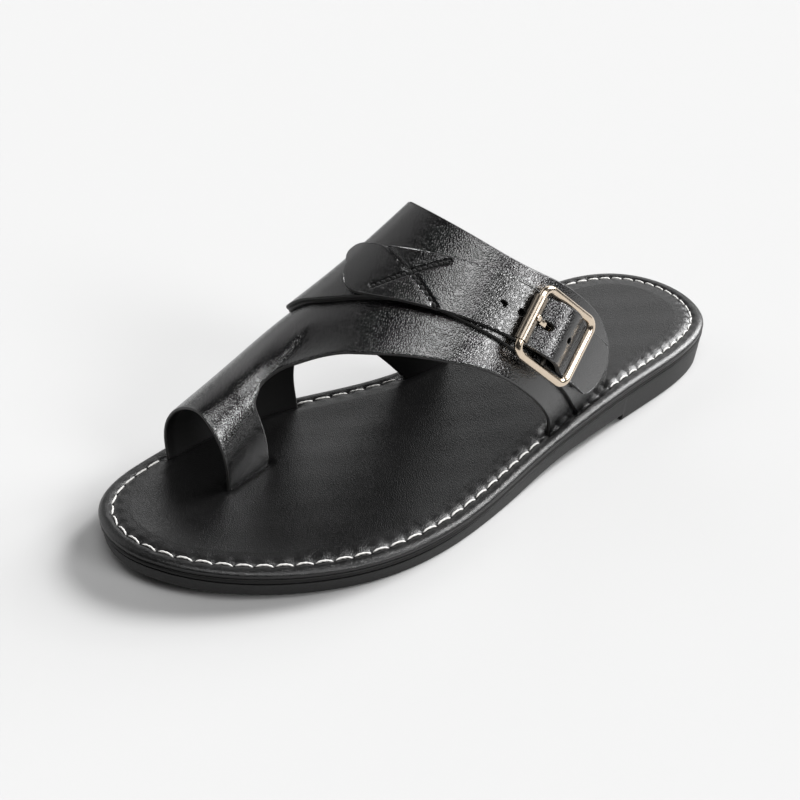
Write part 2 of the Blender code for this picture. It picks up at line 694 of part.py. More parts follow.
def make_insole():
    """Footbed with a rolled edge, a stitch groove, a padded top and slots for the legs of the upper."""
    verts, faces = stacked_layer(INSOLE_BOTTOM, INSOLE_EDGE, INSOLE_COLUMNS)
    insole = make_object("insole", verts, faces, BLACK_FOOTBED)
    last, first = BAND[-1], BAND[0]
    slots = {
        "medial_slot": (0.0, False, LOOP_FRONT_MEDIAL, VAMP_REAR[0].y, 0.0, LEATHER),
        "toe_slot": (1.0, True, LOOP_FRONT_INNER, LOOP_REAR_INNER, 0.0, LEATHER),
        "band_slot": (0.0, False, first.front, first.rear, BAND_LIFT, BAND_LIFT + LEATHER),
        "lateral_slot": (1.0, False, VAMP_FRONT[-1].y, last.rear, 0.0, BAND_LIFT + LEATHER),
    }
    for name, (around, loop, front, rear, inner, outer) in slots.items():
        stations = np.linspace(front - SLOT_CLEARANCE, rear + SLOT_CLEARANCE, SLOT_STATIONS)
        line = np.array([on_arch(y, around, loop) for y in stations])
        along = np.gradient(line, axis=0)
        outward = np.stack((along[:, 1], -along[:, 0], np.zeros(len(line))), axis=1)
        outward *= 1.0 if around > 0.5 else -1.0
        cut_or_join(insole, slot_cutter(name, line, outward, inner, outer), "DIFFERENCE")
    return insole


def strap_point(place, aside):
    """Point of the last beside the strap's centre line; place is the share around the foot."""
    y = float(through_rows(STRAP, "around", "y", place))
    ahead_y = float(through_rows(STRAP, "around", "y", place + SMALL_STEP))
    here = on_arch(y, place)
    by_around = (on_arch(y, place + SMALL_STEP) - here) / SMALL_STEP
    by_y = (on_arch(y + SMALL_STEP, place) - here) / SMALL_STEP
    along = by_around + by_y * (ahead_y - y) / SMALL_STEP
    along /= np.linalg.norm(along)
    across = np.cross(np.cross(by_around, by_y), along)
    across /= np.linalg.norm(across)
    frame = np.column_stack((by_around, by_y))
    move = np.linalg.lstsq(frame, across * aside, rcond=None)[0]
    return on_arch(y + move[1], place + move[0])


def strap_run():
    """Shares around the foot and the run along the strap's centre line, both as fine rows."""
    places = np.linspace(STRAP[0].around, STRAP[-1].around, STRAP_FINENESS)
    line = np.array([strap_point(place, 0.0) for place in places])
    run = np.concatenate(([0.0], np.cumsum(np.linalg.norm(np.diff(line, axis=0), axis=1))))
    return places, run


STRAP_PLACES, STRAP_RUN = strap_run()
BUCKLE_RUN = float(np.interp(BUCKLE_AROUND, STRAP_PLACES, STRAP_RUN))


def strap_place(run):
    """Share around the foot at a run along the strap."""
    return float(np.interp(run, STRAP_RUN, STRAP_PLACES))


def strap_width(run):
    """Half width of the strap: rounded corners at its sewn end, a half round at its tip."""
    end = STRAP_RUN[-1]
    into = np.clip(STRAP_START_RADIUS - run, 0.0, STRAP_START_RADIUS)
    out = np.clip(STRAP_TIP_RADIUS - (end - run), 0.0, STRAP_TIP_RADIUS)
    start = STRAP_START_RADIUS - np.sqrt(STRAP_START_RADIUS ** 2 - into ** 2)
    tip = STRAP_TIP_RADIUS - np.sqrt(STRAP_TIP_RADIUS ** 2 - out ** 2)
    return max(STRAP_HALF_WIDTH - start - tip, STRAP_END_HALF_WIDTH)


def strap_stations():
    """Runs along the strap, closer together at its rounded ends."""
    end = STRAP_RUN[-1]
    turn = np.linspace(0.0, math.pi / 2, STRAP_END_STEPS + 1)
    first = STRAP_START_RADIUS * (1.0 - np.cos(turn))
    last = end - STRAP_TIP_RADIUS * (1.0 - np.cos(turn[::-1]))
    middle = np.linspace(first[-1], last[0], STRAP_COLUMNS - 2 * STRAP_END_STEPS)
    return np.concatenate((first[:-1], middle, last[1:]))


def hump(run):
    """Extra height of the strap where it passes over the centre bar."""
    part = np.clip(np.abs(run - BUCKLE_RUN) / HUMP_HALF_LENGTH, 0.0, 1.0)
    return HUMP_HEIGHT * np.cos(part * math.pi / 2) ** 2


def place_frame(run, lift):
    """Point above the strap's centre line, and the last's normal there."""
    place = strap_place(run)
    here = strap_point(place, 0.0)
    ahead = strap_point(strap_place(run + SMALL_STEP), 0.0)
    aside = strap_point(place, SMALL_STEP)
    normal = np.cross(aside - here, ahead - here)
    normal /= np.linalg.norm(normal)
    normal *= math.copysign(1.0, normal[0])
    return here + normal * lift, normal


def prism(name, centre, axes, outline, low, high):
    """Closed prism of a plane outline, from low to high along the third axis."""
    count = len(outline)
    rings = [centre + axes[0] * u + axes[1] * v + axes[2] * w for w in (low, high) for u, v in outline]
    faces = [(i, (i + 1) % count, count + (i + 1) % count, count + i) for i in range(count)]
    faces += [tuple(range(count)), tuple(range(count, 2 * count))]
    return make_object(name, rings, faces)


def circle(radius, sides):
    """Points of a circle in its own plane."""
    turns = [2 * math.pi * k / sides for k in range(sides)]
    return [(radius * math.cos(turn), radius * math.sin(turn)) for turn in turns]


def strap_axes(run):
    """Directions along the strap, across it and away from the foot."""
    place = strap_place(run)
    along = strap_point(strap_place(run + SMALL_STEP), 0.0) - strap_point(place, 0.0)
    along /= np.linalg.norm(along)
    normal = place_frame(run, 0.0)[1]
    return along, np.cross(normal, along), normal


def hole_centre(run):
    """Middle of the strap's inner face at a run along it."""
    return place_frame(run, STRAP_LIFT + float(hump(run)))[0]


def slot_outline():
    """Oblong with round ends for the hole that the prong comes through."""
    reach = PRONG_SLOT_HALF_LENGTH - PRONG_SLOT_HALF_WIDTH
    outline = []
    for k in range(PUNCH_SIDES):
        turn = 2 * math.pi * (k + 0.5) / PUNCH_SIDES
        end = math.copysign(reach, math.cos(turn))
        along = end + PRONG_SLOT_HALF_WIDTH * math.cos(turn)
        outline.append((along, PRONG_SLOT_HALF_WIDTH * math.sin(turn)))
    return outline


def make_strap():
    """Strap sewn to the band, under the roller, over the centre bar and out under the rear bar."""
    runs = strap_stations()
    grid = np.empty((STRAP_ROWS + 1, len(runs), 3))
    for i, share in enumerate(np.linspace(-1.0, 1.0, STRAP_ROWS + 1)):
        for j, run in enumerate(runs):
            grid[i, j] = strap_point(strap_place(run), strap_width(run) * share)
    normals = grid_normals(grid)
    # The end columns are too narrow to give normals of their own
    normals[:, 0] = normals[:, 1]
    normals[:, -1] = normals[:, -2]
    lift = np.tile(STRAP_LIFT + hump(runs), STRAP_ROWS + 1)
    verts, skins = thick_grid(grid, normals, lift, lift + STRAP_THICKNESS)
    strap = make_object("buckle_strap", verts, skins, BLACK_LEATHER)
    round_hole = circle(HOLE_RADIUS, PUNCH_SIDES)
    punches = [(reach, round_hole) for reach in STRAP_HOLES] + [(PRONG_SLOT, slot_outline())]
    for number, (reach, outline) in enumerate(punches):
        run = BUCKLE_RUN + reach
        at = hole_centre(run)
        punch = prism(f"hole_punch_{number}", at, strap_axes(run), outline, PUNCH_BELOW, PUNCH_ABOVE)
        cut_or_join(strap, punch, "DIFFERENCE")
    return strap


def buckle_axes():
    """Centre of the buckle and its own axes: from roller to rear bar, along the bars, and outwards."""
    reach = FRAME_HALF_LENGTH
    for _ in range(FRAME_FIT_STEPS):
        front, _ = place_frame(BUCKLE_RUN - reach, ROLLER_LIFT)
        rear, _ = place_frame(BUCKLE_RUN + reach, REAR_BAR_LIFT)
        reach *= 2 * FRAME_HALF_LENGTH / np.linalg.norm(rear - front)
    _, normal = place_frame(BUCKLE_RUN, 0.0)
    along = (rear - front) / np.linalg.norm(rear - front)
    bars = np.cross(normal, along)
    bars /= np.linalg.norm(bars)
    centre = (front + rear) / 2 + bars * BUCKLE_ASIDE
    return centre, np.array((along, bars, np.cross(along, bars)))


def sweep(path, sides, half_width, half_height, closed):
    """Tube of oval section along a path of points in one plane; its width is along that plane's normal."""
    path = np.asarray(path, float)
    if closed:
        ahead = np.roll(path, -1, axis=0) - np.roll(path, 1, axis=0)
    else:
        ahead = np.gradient(path, axis=0)
    ahead /= np.linalg.norm(ahead, axis=1)[:, None]
    turn = 2 * math.pi * np.arange(sides) / sides
    verts = []
    for (u, w), (du, dw) in zip(path, ahead):
        rise = half_height * np.sin(turn)
        verts.append(np.column_stack((u - dw * rise, half_width * np.cos(turn), w + du * rise)))
    count = len(path)
    faces = []
    for i in range(count if closed else count - 1):
        a, b = i * sides, (i + 1) % count * sides
        faces += [(a + k, a + (k + 1) % sides, b + (k + 1) % sides, b + k) for k in range(sides)]
    if not closed:
        faces += [tuple(range(sides)), tuple(range((count - 1) * sides, count * sides))]
    return np.vstack(verts), faces


def rounded_frame():
    """Middle line of the frame's wire: a rectangle with round corners, as a ring of points."""
    corner_u = FRAME_HALF_LENGTH - FRAME_CORNER
    corner_v = FRAME_HALF_WIDTH - FRAME_CORNER
    ring = []
    for quarter, (sign_u, sign_v) in enumerate(((1, 1), (-1, 1), (-1, -1), (1, -1))):
        for k in range(CORNER_STEPS + 1):
            turn = math.pi / 2 * (quarter + k / CORNER_STEPS)
            u = sign_u * corner_u + FRAME_CORNER * math.cos(turn)
            v = sign_v * corner_v + FRAME_CORNER * math.sin(turn)
            ring.append((u, v))
    return ring


def prong_path(hole):
    """Middle line of the prong: round the centre bar, under the strap, up its hole and over the roller."""
    eye = np.linspace(PRONG_EYE_START, PRONG_EYE_END, PRONG_EYE_STEPS)
    path = [(PRONG_EYE * math.cos(turn), PRONG_EYE * math.sin(turn)) for turn in eye]
    path += [(hole * part, -PRONG_EYE) for part in PRONG_UNDER_PARTS]
    path += [(hole + ahead, level * PRONG_EYE) for ahead, level in PRONG_BEND]
    for turn in np.linspace(PRONG_REST_START, PRONG_REST_END, PRONG_REST_STEPS):
        path.append((-FRAME_HALF_LENGTH + PRONG_REST * math.cos(turn), PRONG_REST * math.sin(turn)))
    return path


def make_buckle():
    """Frame with its centre bar, roller on the front bar, and prong through the strap."""
    centre, axes = buckle_axes()
    half = FRAME_HALF_WIDTH
    along_bars = np.array((axes[2], axes[0], axes[1]))
    verts, faces = sweep(rounded_frame(), FRAME_SIDES, FRAME_WIRE, FRAME_WIRE, True)
    flat = centre + verts[:, [0]] * axes[0] + verts[:, [2]] * axes[1] + verts[:, [1]] * axes[2]
    frame = make_object("buckle_frame", flat, faces, PALE_GOLD, WIRE_ANGLE)
    bar_outline = circle(CENTRE_BAR_RADIUS, CENTRE_BAR_SIDES)
    bar = prism("centre_bar_form", centre, along_bars, bar_outline, -half, half)
    cut_or_join(frame, bar, "UNION")

    roller_at = centre - axes[0] * FRAME_HALF_LENGTH
    outer = circle(ROLLER_RADIUS, ROLLER_SIDES)
    roller = prism("buckle_roller", roller_at, along_bars, outer, -ROLLER_HALF_LENGTH, ROLLER_HALF_LENGTH)
    roller.data.materials.append(make_material("buckle_roller", PALE_GOLD))
    bore = prism("roller_bore", roller_at, along_bars, circle(ROLLER_BORE, ROLLER_SIDES), -half, half)
    cut_or_join(roller, bore, "DIFFERENCE")

    hole = hole_centre(BUCKLE_RUN + PRONG_SLOT) - centre
    path = prong_path(float(hole @ axes[0]))
    verts, faces = sweep(path, PRONG_SIDES, PRONG_HALF_WIDTH, PRONG_HALF_THICKNESS, False)
    prong_at = centre + axes[1] * (hole @ axes[1])
    make_object("buckle_prong", prong_at + verts @ axes, faces, PALE_GOLD, WIRE_ANGLE)


def main():
    clear_scene()
    make_outsole()
    verts, faces = stacked_layer(MIDSOLE_BOTTOM, MIDSOLE_EDGE, SOLE_COLUMNS)
    make_object("midsole", verts, faces, BLACK_RUBBER)
    make_insole()
    make_upper()
    make_strap()
    make_buckle()


main()
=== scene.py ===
"""Looks of the flat sandal: leather, rubber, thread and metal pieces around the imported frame.

Metres, +Z up. The toe points to -Y, the heel to +Y, and the outer (lateral) side of the foot is +X.
"""
import math
from collections import namedtuple

import bmesh
import bpy
import numpy as np
from mathutils import Matrix, Vector


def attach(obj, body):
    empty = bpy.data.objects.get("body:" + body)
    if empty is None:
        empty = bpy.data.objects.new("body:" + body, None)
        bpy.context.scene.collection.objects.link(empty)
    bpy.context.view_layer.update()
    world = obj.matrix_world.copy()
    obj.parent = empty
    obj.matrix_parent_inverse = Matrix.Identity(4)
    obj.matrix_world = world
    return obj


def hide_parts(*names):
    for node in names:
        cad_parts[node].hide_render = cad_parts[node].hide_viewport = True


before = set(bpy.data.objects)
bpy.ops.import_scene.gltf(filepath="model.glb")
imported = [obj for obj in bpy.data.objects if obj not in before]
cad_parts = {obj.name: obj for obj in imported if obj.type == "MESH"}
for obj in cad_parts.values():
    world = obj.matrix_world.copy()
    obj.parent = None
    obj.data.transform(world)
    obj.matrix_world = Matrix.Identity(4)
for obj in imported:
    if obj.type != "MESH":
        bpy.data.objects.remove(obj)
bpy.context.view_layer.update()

# Camera: the photograph's angle, its target and its distance
CAMERA_TURN = math.radians(49.6229)
CAMERA_HEIGHT = math.radians(33.99)
CAMERA_TARGET = (-0.01425, -0.00088, 0.01333)
CAMERA_DISTANCE = 0.8445294
CAMERA_LENS = 107.99
CAMERA_SENSOR = 36.0
CAMERA_CLIP = 0.01

# Sole outline: the outermost line of the sole at stations along its length
OutlineRow = namedtuple("OutlineRow", "y medial lateral")
OUTLINE = [
    OutlineRow(-0.1180, -0.0302, 0.0105),
    OutlineRow(-0.1060, -0.0400, 0.0247),
    OutlineRow(-0.0850, -0.0467, 0.0391),
    OutlineRow(-0.0600, -0.0503, 0.0482),
    OutlineRow(-0.0350, -0.0474, 0.0501),
    OutlineRow(-0.0100, -0.0382, 0.0465),
    OutlineRow(0.0150, -0.0302, 0.0412),
    OutlineRow(0.0450, -0.0307, 0.0367),
    OutlineRow(0.0750, -0.0344, 0.0330),
    OutlineRow(0.1000, -0.0329, 0.0290),
    OutlineRow(0.1150, -0.0245, 0.0218),
]
TOE_TIP = (-0.0109, -0.1244)
HEEL_TIP = (-0.0010, 0.1244)
OUTLINE_FINENESS = 8000
SIDE_STEPS = 500
NORMAL_SPREAD = 3
SPINE_END = 0.026

# Side profile of the sole
TOE_SPRING = 0.0047
SPRING_START = -0.045
SPRING_RUN = 0.075
HEEL_RISE = 0.0064
RISE_START = -0.035
RISE_RUN = 0.110
ARCH_LIFT = 0.0030
ARCH_START = -0.005
ARCH_RUN = 0.040
BREAST_Y = 0.064

# Layers of the sole, measured at the ball: offset from the outline and height above the layer's bottom
LAYER_GAP = 0.0003
OUTSOLE_TOP = 0.0048
MIDSOLE_BOTTOM = OUTSOLE_TOP + LAYER_GAP
MIDSOLE_HEIGHT = 0.0020
INSOLE_BOTTOM = MIDSOLE_BOTTOM + MIDSOLE_HEIGHT + LAYER_GAP
EdgeRow = namedtuple("EdgeRow", "offset height")
OUTSOLE_FOOT_OFFSET = -0.0015
OUTSOLE_HEEL_OFFSET = -0.0023
OUTSOLE_TOP_OFFSET = -0.0005
MIDSOLE_EDGE = [
    EdgeRow(-0.0030, 0.0000),
    EdgeRow(-0.0010, 0.0001),
    EdgeRow(-0.0003, 0.0005),
    EdgeRow(-0.0002, 0.0010),
    EdgeRow(-0.0003, 0.0014),
    EdgeRow(-0.0007, 0.0019),
    EdgeRow(-0.0030, 0.0020),
]
INSOLE_EDGE = [
    EdgeRow(-0.0030, -0.0002),
    EdgeRow(-0.0005, -0.0002),
    EdgeRow(-0.0002, 0.0004),
    EdgeRow(0.0000, 0.0011),
    EdgeRow(-0.0004, 0.0018),
    EdgeRow(-0.0014, 0.0024),
    EdgeRow(-0.0028, 0.0026),
    EdgeRow(-0.0040, 0.0024),
    EdgeRow(-0.0045, 0.0022),
    EdgeRow(-0.0051, 0.0025),
    EdgeRow(-0.0070, 0.0031),
    EdgeRow(-0.0105, 0.0035),
]

# Rows of points up the edges, over the tops and on the undersides, and how far in the middle line counts
OUTSOLE_FLOOR_ROWS = 8
OUTSOLE_TOP_SHARES = (0.05, 0.5, 1.0)
MIDSOLE_EDGE_ROWS = 17
MIDSOLE_TOP_ROWS = 2
INSOLE_EDGE_ROWS = 46
INSOLE_TOP_ROWS = 40
UNDERSIDE_SHARES = (0.0, 0.5)
SPINE_OFFSET = 0.02

# Line of the stitches on the footbed, above its bottom and from the outline
STITCH_LEVEL = 0.0024
STITCH_OFFSET = -0.0045

# Wall of the outsole: share of its height, and inset from a straight wall where it is rounded
WallRow = namedtuple("WallRow", "rise inset")
WALL = [
    WallRow(0.000, 0.00060),
    WallRow(0.025, 0.00022),
    WallRow(0.070, 0.00004),
    WallRow(0.130, 0.00000),
    WallRow(0.300, 0.00000),
    WallRow(0.500, 0.00000),
    WallRow(0.700, 0.00000),
    WallRow(0.870, 0.00000),
    WallRow(0.940, 0.00003),
    WallRow(0.980, 0.00012),
    WallRow(1.000, 0.00032),
]

# Relief of the footbed along its stitches: depth, place inwards or outwards of the stitches, and reach
Relief = namedtuple("Relief", "depth aside reach")
GROOVE = Relief(0.00022, 0.0, 0.0008)
NEEDLE_HOLE = Relief(0.00032, -0.0004, 0.0007)
PUCKER = Relief(0.00009, -0.0020, 0.0016)
ROLL = Relief(0.00004, 0.0014, 0.0012)
NEEDLE_SHARPNESS = 8
SLOT_DIP = 0.0011
SLOT_DIP_REACH = 0.0019
SLOT_POINTS = 16

# Soft unevenness of the padding: waves over the plan, in radians a metre, inside a start line
Wave = namedtuple("Wave", "by_x by_y phase")
BROAD_WAVE = Wave(210, 95, 0.7)
CROSSING_WAVE = Wave(-60, 160, 0.0)
FINE_WAVE = Wave(390, -240, 1.9)
FINE_WAVE_SHARE = 0.6
UNEVEN_DEPTH = 0.00004
UNEVEN_START = -0.0050
UNEVEN_RUN = 0.006

# The last: half arches in planes across the foot, from the medial to the lateral edge of the footbed
LastRow = namedtuple(
    "LastRow",
    "y apex_x height medial_fullness lateral_fullness "
    "medial_bulge lateral_bulge medial_inset lateral_inset",
)
LAST = [
    LastRow(-0.095, -0.0250, 0.0200, 2.10, 2.6, 0.0030, 0.0000, 0.0075, 0.0075),
    LastRow(-0.080, -0.0250, 0.0252, 2.10, 2.4, 0.0028, 0.0000, 0.0075, 0.0075),
    LastRow(-0.060, -0.0265, 0.0320, 2.20, 2.0, 0.0028, 0.0000, 0.0075, 0.0070),
    LastRow(-0.040, -0.0237, 0.0435, 2.30, 2.0, 0.0025, 0.0010, 0.0075, 0.0065),
    LastRow(-0.020, -0.0197, 0.0555, 2.30, 2.0, 0.0025, 0.0020, 0.0075, 0.0062),
    LastRow(0.005, -0.0157, 0.0708, 2.30, 2.1, 0.0020, 0.0030, 0.0080, 0.0062),
    LastRow(0.030, -0.0117, 0.0852, 2.20, 2.2, 0.0020, 0.0040, 0.0086, 0.0072),
    LastRow(0.060, -0.0077, 0.0970, 2.20, 2.3, 0.0020, 0.0040, 0.0086, 0.0100),
]

# Tables of the arches: their fineness, their range along the foot, and where their last cell starts
ARCH_POINTS = 401
TABLE_STATIONS = 480
TABLE_SHARES = 601
TABLE_FRONT = -0.096
TABLE_REAR = 0.068
TABLE_MARGIN = 0.001
LAST_CELL = 1.001

# Leather sheets of the upper
LEATHER = 0.0020
LEG_END = 0.0009
LEG_BLEND = 0.0040
LEG_ROWS = 3
RIM_CUTS = 7
RIM_ROUND = 0.00042
RIM_POWER = 3
RIM_GROOVE = 0.00030
RIM_GROOVE_WIDTH = 0.10
TIGHT_SHARE = 0.70
SKIVE_SHARE = 0.40
SKIVE_WIDTH = 0.003
SKIVE_START = 0.05
INNER_SKIN = 0.01
OUTER_SKIN = 0.99

# Distances at which doubled vertices are merged
WELD_CLOSE = 1e-7
WELD = 1e-6
WELD_WIDE = 1e-5

# Toe loop: an arch from the medial edge to a slot between the first two toes
LOOP_FRONT_MEDIAL = -0.0817
LOOP_FRONT_INNER = -0.0781
LOOP_REAR = -0.0620
LOOP_REAR_INNER = -0.0577
SLOT_FRONT_X = -0.0143
SLOT_REAR_X = -0.0188
LOOP_FRONT_FULLNESS = 2.1
LOOP_REAR_FULLNESS = 3.6
LOOP_BULGE = 0.0015
LOOP_CORNER = 0.62
LOOP_ROWS = 26
SHARED_COLUMNS = 44
INNER_COLUMNS = 34
NOTCH_REACH = 0.0055
NOTCH_ROUNDS = 16
NOTCH_PULL = 0.5

# Vamp: free front edge behind the toe loop, and the edge under the instep band; around runs 0 to 1
AroundRow = namedtuple("AroundRow", "around y")
VAMP_FRONT = [
    AroundRow(0.412, -0.0525),
    AroundRow(0.455, -0.0458),
    AroundRow(0.513, -0.0381),
    AroundRow(0.589, -0.0293),
    AroundRow(0.692, -0.0151),
    AroundRow(0.755, -0.0046),
    AroundRow(0.845, 0.0085),
    AroundRow(0.957, 0.0225),
    AroundRow(1.000, 0.0245),
]
VAMP_REAR = [
    AroundRow(0.00, -0.0280),
    AroundRow(0.10, -0.0280),
    AroundRow(0.18, -0.0250),
    AroundRow(0.27, -0.0175),
    AroundRow(0.36, -0.0130),
    AroundRow(0.45, -0.0080),
    AroundRow(0.58, 0.0030),
    AroundRow(0.75, 0.0200),
    AroundRow(0.92, 0.0350),
    AroundRow(1.00, 0.0370),
]
VAMP_ROWS = 44
VAMP_COLUMNS = 110
LOOP_BLEND = 0.45
LOOP_FADE = 0.25

# Instep band over the vamp, two leathers thick away from its legs
BandRow = namedtuple("BandRow", "around front rear")
BAND = [
    BandRow(0.000, 0.0100, 0.0300),
    BandRow(0.080, -0.0005, 0.0255),
    BandRow(0.200, -0.0195, 0.0175),
    BandRow(0.300, -0.0330, 0.0115),
    BandRow(0.365, -0.0308, 0.0095),
    BandRow(0.474, -0.0205, 0.0102),
    BandRow(0.576, -0.0103, 0.0149),
    BandRow(0.659, -0.0034, 0.0226),
    BandRow(0.751, 0.0063, 0.0365),
    BandRow(0.830, 0.0165, 0.0474),
    BandRow(0.923, 0.0293, 0.0553),
    BandRow(1.000, 0.0390, 0.0560),
]
BAND_LIFT = 0.0016
BAND_PAD = 0.0010
BAND_PAD_RISE = 0.20
BAND_LEG_Y = 0.02
BAND_ROWS = 44
BAND_COLUMNS = 190

# Buckle strap on the band: its centre line around the foot, and the bar of the buckle that it passes over
STRAP = [
    AroundRow(0.398, -0.0160),
    AroundRow(0.459, -0.0128),
    AroundRow(0.524, -0.0076),
    AroundRow(0.577, -0.0026),
    AroundRow(0.655, 0.0064),
    AroundRow(0.715, 0.0140),
    AroundRow(0.768, 0.0208),
    AroundRow(0.829, 0.0292),
    AroundRow(0.900, 0.0405),
    AroundRow(0.938, 0.0465),
]
STRAP_HALF_WIDTH = 0.0095
STRAP_THICKNESS = 0.0018
STRAP_GAP = 0.0005
STRAP_LIFT = BAND_LIFT + LEATHER + BAND_PAD + STRAP_GAP
STRAP_START_RADIUS = 0.0075
STRAP_TIP_RADIUS = 0.0095
STRAP_END_HALF_WIDTH = 0.0006
STRAP_COLUMNS = 290
STRAP_END_STEPS = 22
STRAP_ROWS = 60
STRAP_FINENESS = 400
STEP_AROUND = 0.004
STEP_ALONG = 0.0008
HUMP_HEIGHT = 0.0049
HUMP_HALF_LENGTH = 0.0108
BUCKLE_AROUND = 0.779
BUCKLE_ASIDE = -0.0008
STRAP_HOLES = (-0.0192, -0.0130, 0.0028)
HOLE_RADIUS = 0.0011
HOLE_CORE = 0.8
HOLE_DRAW = 1.8
HOLE_CENTRE = 1e-9
PRONG_SLOT = -0.0052
PRONG_SLOT_HALF_LENGTH = 0.0016
PRONG_SLOT_HALF_WIDTH = 0.0014

# Crossed lines of black stitches at the strap's sewn end: y and share around the foot at both ends,
# the number of stitches, and how many at the start are drawn down out of sight in the groove
CrossLine = namedtuple("CrossLine", "y_start around_start y_end around_end stitches sunk")
CROSS_LINES = (
    CrossLine(-0.0052, 0.435, -0.0080, 0.607, 13, 6),
    CrossLine(-0.0171, 0.480, 0.0031, 0.561, 15, 0),
)
CROSS_DEPTH = 0.00080
CROSS_HALF_WIDTH = 0.00070
CROSS_SHARE = 0.78
CROSS_RADIUS = 0.00050
CROSS_RISE = 0.00042
CROSS_ABOVE = 0.0002

# Buckle: a round wire frame with a roller on its front bar, a centre bar and a prong
FRAME_HALF_LENGTH = 0.0131
FRAME_FIT_STEPS = 5
FRAME_HALF_WIDTH = 0.0121
FRAME_CORNER = 0.0034
FRAME_WIRE = 0.0015
FRAME_SIDES = 28
CORNER_STEPS = 12
CENTRE_BAR_RADIUS = 0.0008
ROLLER_RADIUS = 0.0024
ROLLER_BORE = 0.0019
ROLLER_HALF_LENGTH = 0.0082
ROLLER_SIDES = 56
ROLLER_CHAMFER = 0.00015
BAR_GAP = 0.0006
ROLLER_LIFT = STRAP_LIFT + STRAP_THICKNESS + ROLLER_RADIUS + BAR_GAP
REAR_BAR_LIFT = STRAP_LIFT + STRAP_THICKNESS + FRAME_WIRE + BAR_GAP
PRONG_HALF_WIDTH = 0.0010
PRONG_HALF_THICKNESS = 0.00035
PRONG_EYE_GAP = 0.0002
PRONG_EYE = CENTRE_BAR_RADIUS + PRONG_EYE_GAP + PRONG_HALF_THICKNESS
PRONG_EYE_START = math.radians(185)
PRONG_EYE_END = math.radians(-90)
PRONG_EYE_STEPS = 28
PRONG_UNDER_PARTS = (0.3, 0.6, 0.85)
PRONG_BEND = ((-0.0002, -0.5), (-0.0009, 0.55))
PRONG_REST_GAP = 0.0003
PRONG_REST = ROLLER_RADIUS + PRONG_REST_GAP + PRONG_HALF_THICKNESS
PRONG_REST_START = math.radians(15)
PRONG_REST_END = math.radians(105)
PRONG_REST_STEPS = 16
PRONG_STEPS = 70
PRONG_SIDES = 16
PRONG_END_FULLNESS = (0.0, 0.75, 0.94)
PRONG_SQUARENESS = 0.6

# White lock stitches round the footbed: their spacing by station, and one stitch's size
PitchRow = namedtuple("PitchRow", "y pitch")
STITCH_PITCH = [
    PitchRow(-0.125, 0.0065),
    PitchRow(-0.030, 0.0065),
    PitchRow(0.020, 0.0059),
    PitchRow(0.080, 0.0050),
    PitchRow(0.125, 0.0042),
]
STITCH_SHARE = 0.91
STITCH_RADIUS = 0.00034
STITCH_RISE = 0.00055
STITCH_BOW = 0.00034
STITCH_SLANT = math.radians(3)
STITCH_CLEAR = 0.0034
STITCH_BELOW = 0.0001

# Form of one stitch of two-ply thread: its ends, its arch and the twist of its plies
FORM_LENGTH = 0.005
THREAD_STEPS = 14
THREAD_SIDES = 8
THREAD_END_POWER = 4
THREAD_ARCH_POWER = 2.6
THREAD_SINK = 0.6
PLY_DEPTH = 0.16
PLY_TWIST = 5.0

# Floor of the studio
FLOOR_RADIUS = 6.0
FLOOR_SIDES = 96
FLOOR_DROP = 0.0001

# Soft lights of the room, far away: where they are in degrees (from +X towards +Y, and up), how far from
# there they are full and where they end, and their strength over the dim room
SoftLight = namedtuple("SoftLight", "turn height full end strength")
ROOM_DIM = 0.03
SOFT_LIGHTS = (
    SoftLight(84, 34, 6, 22, 29.2),
    SoftLight(-30, 69, 5, 20, 6.5),
    SoftLight(11, 30, 4, 14, 14.5),
    SoftLight(135, 22, 5, 20, 1.7),
    SoftLight(195, 22, 10, 42, 1.05),
)


def smoothstep(value):
    """Smooth ramp from 0 to 1, flat at both ends."""
    value = np.clip(value, 0.0, 1.0)
    return value * value * (3.0 - 2.0 * value)


def bell(distance, width):
    """1 in the middle of a line, fading to 0 a few widths away."""
    return np.exp(-(distance / width) ** 2)


def cubic(first, last, first_slope, last_slope, span, share):
    """Cubic curve from a first to a last value with their slopes, at a share of the span."""
    rest = 1 - share
    start = first * (1 + 2 * share) * rest ** 2 + first_slope * span * share * rest ** 2
    end = last * share * share * (3 - 2 * share) - last_slope * span * share * share * rest
    return start + end


def hermite(keys, values, at):
    """Smooth curve through values at increasing keys."""
    slopes = np.empty_like(values)
    slopes[1:-1] = (values[2:] - values[:-2]) / (keys[2:] - keys[:-2])
    slopes[0] = (values[1] - values[0]) / (keys[1] - keys[0])
    slopes[-1] = (values[-1] - values[-2]) / (keys[-1] - keys[-2])
    at = np.clip(np.asarray(at, float), keys[0], keys[-1])
    k = np.clip(np.searchsorted(keys, at) - 1, 0, len(keys) - 2)
    span = keys[k + 1] - keys[k]
    return cubic(values[k], values[k + 1], slopes[k], slopes[k + 1], span, (at - keys[k]) / span)


def through_rows(rows, key, name, at):
    """Smooth curve through one column of a table, read at any place of its key column."""
    keys = np.array([getattr(row, key) for row in rows])
    return hermite(keys, np.array([getattr(row, name) for row in rows]), at)


def toe_spring(y):
    """Rise of the toe above the floor."""
    return TOE_SPRING * np.clip((SPRING_START - y) / SPRING_RUN, 0.0, 1.0) ** 2


def profile(y):
    """Rise of the foot's line above the ball: toe spring and heel rise."""
    return toe_spring(y) + HEEL_RISE * smoothstep((y - RISE_START) / RISE_RUN)


def arch_bottom(y):
    """Underside of the outsole in front of the heel."""
    return toe_spring(y) + ARCH_LIFT * smoothstep((y - ARCH_START) / ARCH_RUN)


